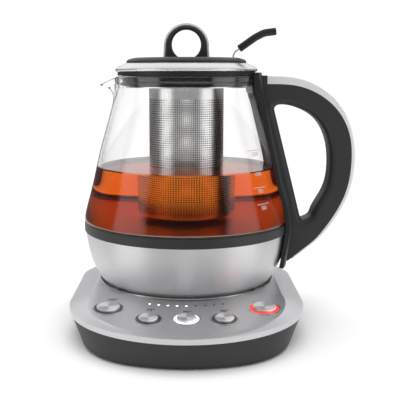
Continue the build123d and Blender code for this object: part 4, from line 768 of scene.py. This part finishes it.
# ---------------------------------------------------------------- infuser
class TEA_OT_infuser(bpy.types.Operator):
    """Punch the sieve and roll its bands, and finish the flange"""

    bl_idname = "tea.infuser"
    bl_label = "Infuser"

    def execute(self, context):
        sieve = context.scene.tea_sieve
        pitch = 2 * sieve.radius * math.tan(math.pi / sieve.holes_around)
        rows = int((sieve.sieve_high - sieve.sieve_low) / pitch)
        middle = rows // 2
        for name, first, last in (("infuser_sieve_lower", 0, middle), ("infuser_sieve_upper", middle, rows)):
            bm = self.rows(sieve, pitch, first, last)
            sheet = piece(name, bm, "infuser", "mesh_steel", stands_for=["infuser_basket"], sharp=60)
            self.thicken(sheet, sieve)
        self.floor(sieve, pitch)
        self.frame(sieve, sieve.sieve_low + (rows - 0.5) * pitch)
        dress_by_slot(polished_steel="infuser_flange")
        return {"FINISHED"}

    def cell(self, sieve, pitch):
        """A square of sheet with its round hole, flat round the origin."""
        bm = bmesh.new()
        bmesh.ops.create_grid(bm, x_segments=2, y_segments=2, size=pitch / 2)
        bmesh.ops.dissolve_verts(bm, verts=[min(bm.verts, key=lambda vert: vert.co.length)])
        hole = bm.faces[:][0]
        bmesh.ops.inset_individual(bm, faces=[hole], thickness=0.2 * pitch)
        for vert in hole.verts:
            vert.co = vert.co.normalized() * sieve.hole_radius
        bmesh.ops.delete(bm, geom=[hole], context="FACES_ONLY")
        return bm

    def rows(self, sieve, pitch, first, last):
        bm = self.cell(sieve, pitch)
        low = sieve.sieve_low + first * pitch
        stand = Matrix(((0, 0, 1, sieve.radius), (1, 0, 0, 0), (0, 1, 0, low), (0, 0, 0, 1)))
        bmesh.ops.transform(bm, matrix=stand, verts=bm.verts[:])
        count = sieve.holes_around
        bmesh.ops.spin(bm, geom=bm.verts[:] + bm.edges[:] + bm.faces[:], cent=(0, 0, 0), axis=(0, 0, 1),
                       angle=FULL_TURN * (count - 1) / count, steps=count - 1, use_duplicate=True)
        row = bm.verts[:] + bm.edges[:] + bm.faces[:]
        for k in range(1, last - first):
            lay_copy(bm, row, (0, 0, k * pitch))
        bmesh.ops.remove_doubles(bm, verts=bm.verts[:], dist=0.04 * MM)
        for vert in bm.verts:
            vert.co.xy = vert.co.xy.normalized() * sieve.radius
        return bm

    def thicken(self, made, sieve):
        made.data.shade_flat()
        # The inside and the walls of the holes get the dark steel as painted shade.
        made.data.materials.append(material("Stainless steel with painted shade", shade_darkened_stainless))
        wall = made.modifiers.new("Sheet", "SOLIDIFY")
        wall.thickness = sieve.sheet
        wall.offset = -1
        wall.material_offset = 1
        wall.material_offset_rim = 1

    def floor(self, sieve, pitch):
        """The sieve's floor: rows of the same cells, cut to a round."""
        bm = self.cell(sieve, pitch)
        corners, cell = bm.verts[:], bm.verts[:] + bm.edges[:] + bm.faces[:]
        reach = sieve.radius - 2.2 * MM
        high = 85.0 * MM
        span = int(reach / pitch)
        for j in range(-span, span + 1):
            for i in range(-span, span + 1):
                spot = Vector((i * pitch, j * pitch, high))
                if spot.xy.length <= reach:
                    lay_copy(bm, cell, spot)
        bmesh.ops.delete(bm, geom=corners, context="VERTS")
        bmesh.ops.remove_doubles(bm, verts=bm.verts[:], dist=0.02 * MM)
        made = piece("infuser_floor", bm, "infuser", "mesh_steel", sharp=60)
        self.thicken(made, sieve)

    def frame(self, sieve, sieve_end):
        """The plain bands above and below the holes, the rolled foot and the bayonet tabs."""
        r = sieve.radius / MM
        bm = bmesh.new()
        foot = [(26.8, 85.3), (26.8, 84.6), (r - 1.2, 84.5), (r - 0.35, 84.8), (r + 0.02, 85.6),
                (r + 0.02, 87.2), (r - 0.5, 87.2), (r - 0.6, 85.8), (r - 1.2, 85.3)]
        spin_line(bm, ring(foot), steps=128, closed=True)
        low = sieve_end / MM - 0.2
        top = [(r + 0.02, low), (r + 0.02, 192.5), (r - 0.58, 192.5), (r - 0.58, low)]
        spin_line(bm, ring(top), steps=128, closed=True)
        tab = [(r - 0.3, 188.1), (r - 1.8, 188.1), (r - 1.8, 189.3), (r - 0.3, 189.3)]
        tabs, tab_width = 3, math.radians(24)
        for k in range(tabs):
            start = FULL_TURN * k / tabs - tab_width / 2
            spin_line(bm, ring(tab), steps=8, closed=True, angle=tab_width, start=start)
        seal(bm)
        bmesh.ops.holes_fill(bm, edges=[edge for edge in bm.edges if edge.is_boundary], sides=4)
        piece("infuser_frame", bm, "infuser", "mesh_steel", sharp=35)


# ---------------------------------------------------------------- lid, lever and handle
class TEA_OT_lid(bpy.types.Operator):
    """Spin the lid's steel rim and finish the cap, loop, gasket and plug"""

    bl_idname = "tea.lid"
    bl_label = "Lid"

    def execute(self, context):
        bm = bmesh.new()
        spin_line(bm, upright_line(RIM_LINE, 6) + ring(RIM_UNDERSIDE), steps=160, closed=True)
        seal(bm)
        piece("lid_steel_rim", bm, "lid", "polished_steel", stands_for=["lid_rim"], sharp=35)
        dress_by_slot(
            dark_plastic="lid_cap lid_loop lid_plug", polished_steel="lever_pin lever_spring",
            handle_silver="lid_loop_trim", silicone="lid_gasket", screw_steel="lid_screws")
        soften(["lid_cap"], 0.5)
        soften(["lid_loop"], 0.4)
        return {"FINISHED"}


class TEA_OT_lever(bpy.types.Operator):
    """Finish the lever's wire and its soft grip"""

    bl_idname = "tea.lever"
    bl_label = "Lever"

    def execute(self, context):
        dress_by_slot(polished_steel="lever_wire", silicone="lever_grip")
        soften(["lever_grip"], 0.6, 50)
        return {"FINISHED"}


class TEA_OT_handle(bpy.types.Operator):
    """Finish the handle's saddle, grip and silver strip"""

    bl_idname = "tea.handle"
    bl_label = "Handle"

    def execute(self, context):
        dress_by_slot(dark_plastic="handle_saddle handle_grip", handle_silver="handle_trim")
        soften(["handle_saddle"], 0.9, 40)
        soften(["handle_grip"], 0.8, 40)
        return {"FINISHED"}


# ---------------------------------------------------------------- power base
class TEA_OT_base(bpy.types.Operator):
    """Finish the base's shells, foot, connector, inlet and electronics"""

    bl_idname = "tea.base"
    bl_label = "Power base"

    def execute(self, context):
        dress_by_slot(
            silver_shell="base_top_shell", dark_plastic="base_lower_shell", foot_rubber="foot_ring",
            black_plastic="base_connector_housing cord_inlet", contact_brass="base_connector_contacts",
            screw_steel="base_screws board_screws", circuit_board="control_board power_board",
            component_black="tactile_switches relay transformer")
        soften(["base_top_shell"], 0.6, 15)
        self.seat_ring()
        return {"FINISHED"}

    def seat_ring(self):
        """The bright bead on the bevel round the jug's seat."""
        radius, height, bead = 73.1, 33.0, 0.45
        turns = [FULL_TURN * k / 8 for k in range(8)]
        section = [(radius + bead * math.cos(a), height + bead * math.sin(a)) for a in turns]
        bm = bmesh.new()
        spin_line(bm, ring(section), steps=160, closed=True)
        seal(bm)
        piece("seat_ring", bm, "power_base", "polished_steel")


class TEA_OT_buttons(bpy.types.Operator):
    """Finish the buttons: spun caps, metal bezels, and light rings that are dark, white or red"""

    bl_idname = "tea.buttons"
    bl_label = "Buttons and indicators"

    buttons = ("hot_water", "green_tea", "black_tea", "oolong_tea", "start")
    white_glow, red_glow = 0.9, 0.85

    def execute(self, context):
        finish = context.scene.tea_finish
        for name in self.buttons:
            low, high = (Vector(corner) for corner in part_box(name + "_cap"))
            spun = spun_aluminium((low + high) / 2, PANEL_NORMAL)
            dress(material("Spun aluminium, " + name, spun), name + "_cap")
            dress_by_slot(black_plastic=name + "_stem", light_ring=name + "_light_ring")
        white = glowing(tuple(finish.lit_white), self.white_glow)
        dress(material("White-lit acrylic", white), "black_tea_light_ring")
        red = glowing(tuple(finish.lit_red), self.red_glow)
        dress(material("Red-lit acrylic", red), "start_light_ring")
        dress_by_slot(polished_steel="button_bezels")
        dress(material("Indicator acrylic", indicator_acrylic), "indicator_lenses")
        return {"FINISHED"}


class TEA_OT_panel_marks(bpy.types.Operator):
    """Print the water temperatures beside the buttons"""

    bl_idname = "tea.panel_marks"
    bl_label = "Panel numbers"

    # number, then its place across and down the panel in millimetres
    numbers = (("100°", -56.4, 11.1), ("75°", -26.4, 30.2), ("85°", 0.7, 34.1), ("90°", 28.1, 32.0))
    height = 5.4 * MM
    narrowing = 0.85

    def execute(self, context):
        bm = bmesh.new()
        lean = Matrix.Rotation(PANEL_TILT, 4, "X")
        for text, across, down in self.numbers:
            lettering = words(text, self.height, FILM * MM)
            bmesh.ops.scale(lettering, verts=lettering.verts[:], vec=(self.narrowing, 1, 1))
            spot = Vector((across, -down * math.cos(PANEL_TILT), -down * math.sin(PANEL_TILT)))
            place = Matrix.Translation((PANEL_START + spot + FILM * PANEL_NORMAL) * MM) @ lean
            bmesh.ops.transform(lettering, matrix=place, verts=lettering.verts[:])
            join(bm, lettering)
        piece("panel_numbers", bm, "power_base", finish=material("Pad-print ink", panel_ink))
        return {"FINISHED"}


# ---------------------------------------------------------------- studio
class TEA_OT_stage(bpy.types.Operator):
    """Set the pale floor, the soft studio light and the camera"""

    bl_idname = "tea.stage"
    bl_label = "Studio"

    def execute(self, context):
        stage = context.scene.tea_stage
        self.floor(stage)
        self.surround(context.scene, stage)
        self.softbox(stage.top_light)
        self.camera(context.scene)
        return {"FINISHED"}

    def floor(self, stage):
        bm = bmesh.new()
        bmesh.ops.create_circle(bm, cap_ends=True, segments=96, radius=8.0)
        mesh = bpy.data.meshes.new("floor")
        bm.to_mesh(mesh)
        bm.free()
        made = bpy.data.objects.new("floor", mesh)
        bpy.context.scene.collection.objects.link(made)
        mesh.materials.append(material("Painted board", self.paint))

    def paint(self, tree):
        # Matt white paint on board: even, without gloss, and faded out into the white room before its edge.
        colour = bpy.context.scene.tea_stage.floor
        place = add(tree, "ShaderNodeTexCoord").outputs["Object"]
        drift = add(tree, "ShaderNodeTexNoise", {"Vector": place, "Scale": 3.0})
        reach = add(tree, "ShaderNodeVectorMath", {0: place}, operation="LENGTH")
        fade = add(tree, "ShaderNodeMapRange", {
            "Value": reach.outputs["Value"], "From Min": 0.25, "From Max": 0.8, "To Min": 1.0, "To Max": 0.0},
            interpolation_type="SMOOTHSTEP")
        tone = add(tree, "ShaderNodeMix", {
            MIX_FACTOR: drift.outputs[0], MIX_A: opaque([0.99 * c for c in colour]), MIX_B: opaque(colour)},
            data_type="RGBA")
        board = add(tree, "ShaderNodeBsdfPrincipled", {
            "Base Color": tone.outputs[MIX_OUT], "Roughness": 0.9, "Specular IOR Level": 0.1,
            "Alpha": fade.outputs[0]})
        return {"Surface": board.outputs[0]}

    def surround(self, scene, stage):
        """A white backdrop, seen directly and through glass, in a dim room with bright panels and ceiling."""
        scene.world = bpy.data.worlds.new("Studio")
        scene.world.use_nodes = True
        tree = scene.world.node_tree
        tree.nodes.clear()
        way = add(tree, "ShaderNodeTexCoord").outputs["Generated"]
        axes = add(tree, "ShaderNodeSeparateXYZ", {0: way})
        x, y, z = axes.outputs
        across = add(tree, "ShaderNodeMath", {0: x}, operation="ABSOLUTE")
        folded = add(tree, "ShaderNodeCombineXYZ", {"X": across.outputs[0], "Y": y, "Z": z})
        panel = add(tree, "ShaderNodeVectorMath", {
            0: folded.outputs[0], 1: stage.panel_aim}, operation="DOT_PRODUCT")
        back = add(tree, "ShaderNodeMath", {0: z, 1: y}, operation="MULTIPLY")
        room = stage.room
        for value, start, end, power in (
                (panel.outputs["Value"], 0.90, 0.96, stage.panels),
                (z, 0.35, 0.7, stage.ceiling),
                (back.outputs[0], 0.0, 0.14, 0.72 * stage.back_wall),
                (back.outputs[0], 0.14, 0.3, stage.back_wall),
                (z, -0.05, -0.31, stage.ground)):
            part = add(tree, "ShaderNodeMapRange", {
                "Value": value, "From Min": start, "From Max": end, "To Max": power},
                interpolation_type="SMOOTHSTEP")
            room = add(tree, "ShaderNodeMath", {0: room, 1: part.outputs[0]}, operation="MAXIMUM").outputs[0]
        # Rays that have met only clear surfaces see the backdrop, and so do those that a glass wall pipes
        # along and lets out towards the back.
        ray = add(tree, "ShaderNodeLightPath")
        turns = add(tree, "ShaderNodeMath", {
            0: ray.outputs["Glossy Depth"], 1: ray.outputs["Diffuse Depth"]}, operation="ADD")
        through = add(tree, "ShaderNodeMath", {0: turns.outputs[0], 1: 0.5}, operation="LESS_THAN")
        in_wall = add(tree, "ShaderNodeMath", {
            0: ray.outputs["Transmission Depth"], 1: 2.0, 2: 0.5}, operation="COMPARE")
        behind = add(tree, "ShaderNodeMath", {0: y, 1: 0.1}, operation="GREATER_THAN")
        piped = add(tree, "ShaderNodeMath", {
            0: in_wall.outputs[0], 1: behind.outputs[0]}, operation="MULTIPLY")
        seen = add(tree, "ShaderNodeMath", {0: through.outputs[0], 1: piped.outputs[0]}, operation="MAXIMUM")
        strength = add(tree, "ShaderNodeMix", {
            0: seen.outputs[0], 2: room, 3: stage.backdrop}, data_type="FLOAT")
        light = add(tree, "ShaderNodeBackground", {"Color": (1, 1, 1, 1), "Strength": strength.outputs[0]})
        add(tree, "ShaderNodeOutputWorld", {"Surface": light.outputs[0]})
        scene.view_settings.view_transform = "Standard"

    def softbox(self, power):
        """One wide light straight overhead, kept out of reflections."""
        light = bpy.data.lights.new("Overhead softbox", "AREA")
        light.shape = "RECTANGLE"
        light.size, light.size_y = 1.2, 1.0
        light.energy = power
        made = bpy.data.objects.new("Overhead softbox", light)
        made.location = (0.0, 0.0, 1.3)
        made.visible_glossy = False
        bpy.context.scene.collection.objects.link(made)

    def camera(self, scene):
        lens = bpy.data.cameras.new("Camera")
        lens.sensor_width = 36.0
        lens.lens = 68.1
        lens.shift_x = 0.034
        made = bpy.data.objects.new("Camera", lens)
        made.location = (0.0, -0.630, 0.202)
        made.rotation_euler = (math.radians(90 - 9.4), 0.0, 0.0)
        scene.collection.objects.link(made)
        scene.camera = made


# ---------------------------------------------------------------- add-on
STEPS = (TEA_OT_base, TEA_OT_buttons, TEA_OT_panel_marks, TEA_OT_jug_body, TEA_OT_jug_glass,
         TEA_OT_level_marks, TEA_OT_tea, TEA_OT_infuser, TEA_OT_lid, TEA_OT_lever, TEA_OT_handle,
         TEA_OT_stage)
GROUPS = {"tea_jug": TeaJugSettings, "tea_sieve": TeaSieveSettings, "tea_finish": TeaFinishSettings,
          "tea_stage": TeaStageSettings}


class TEA_PT_maker(bpy.types.Panel):
    """Lists the tea maker's settings and the pieces that can be made"""

    bl_idname = "TEA_PT_maker"
    bl_label = "Automatic tea maker"
    bl_space_type = "VIEW_3D"
    bl_region_type = "UI"
    bl_category = "Tea maker"

    def draw(self, context):
        for name, group in GROUPS.items():
            box = self.layout.box()
            for setting in group.__annotations__:
                box.prop(getattr(context.scene, name), setting)
        for step in STEPS:
            self.layout.operator(step.bl_idname)


def register():
    for group in GROUPS.values():
        bpy.utils.register_class(group)
    for name, group in GROUPS.items():
        setattr(bpy.types.Scene, name, PointerProperty(type=group))
    for kind in STEPS + (TEA_PT_maker,):
        bpy.utils.register_class(kind)


def unregister():
    for kind in reversed(STEPS + (TEA_PT_maker,)):
        bpy.utils.unregister_class(kind)
    for name in GROUPS:
        delattr(bpy.types.Scene, name)
    for group in reversed(list(GROUPS.values())):
        bpy.utils.unregister_class(group)


def main():
    register()
    for step in STEPS:
        family, name = step.bl_idname.split(".")
        getattr(getattr(bpy.ops, family), name)()


if __name__ == "__main__":
    main()
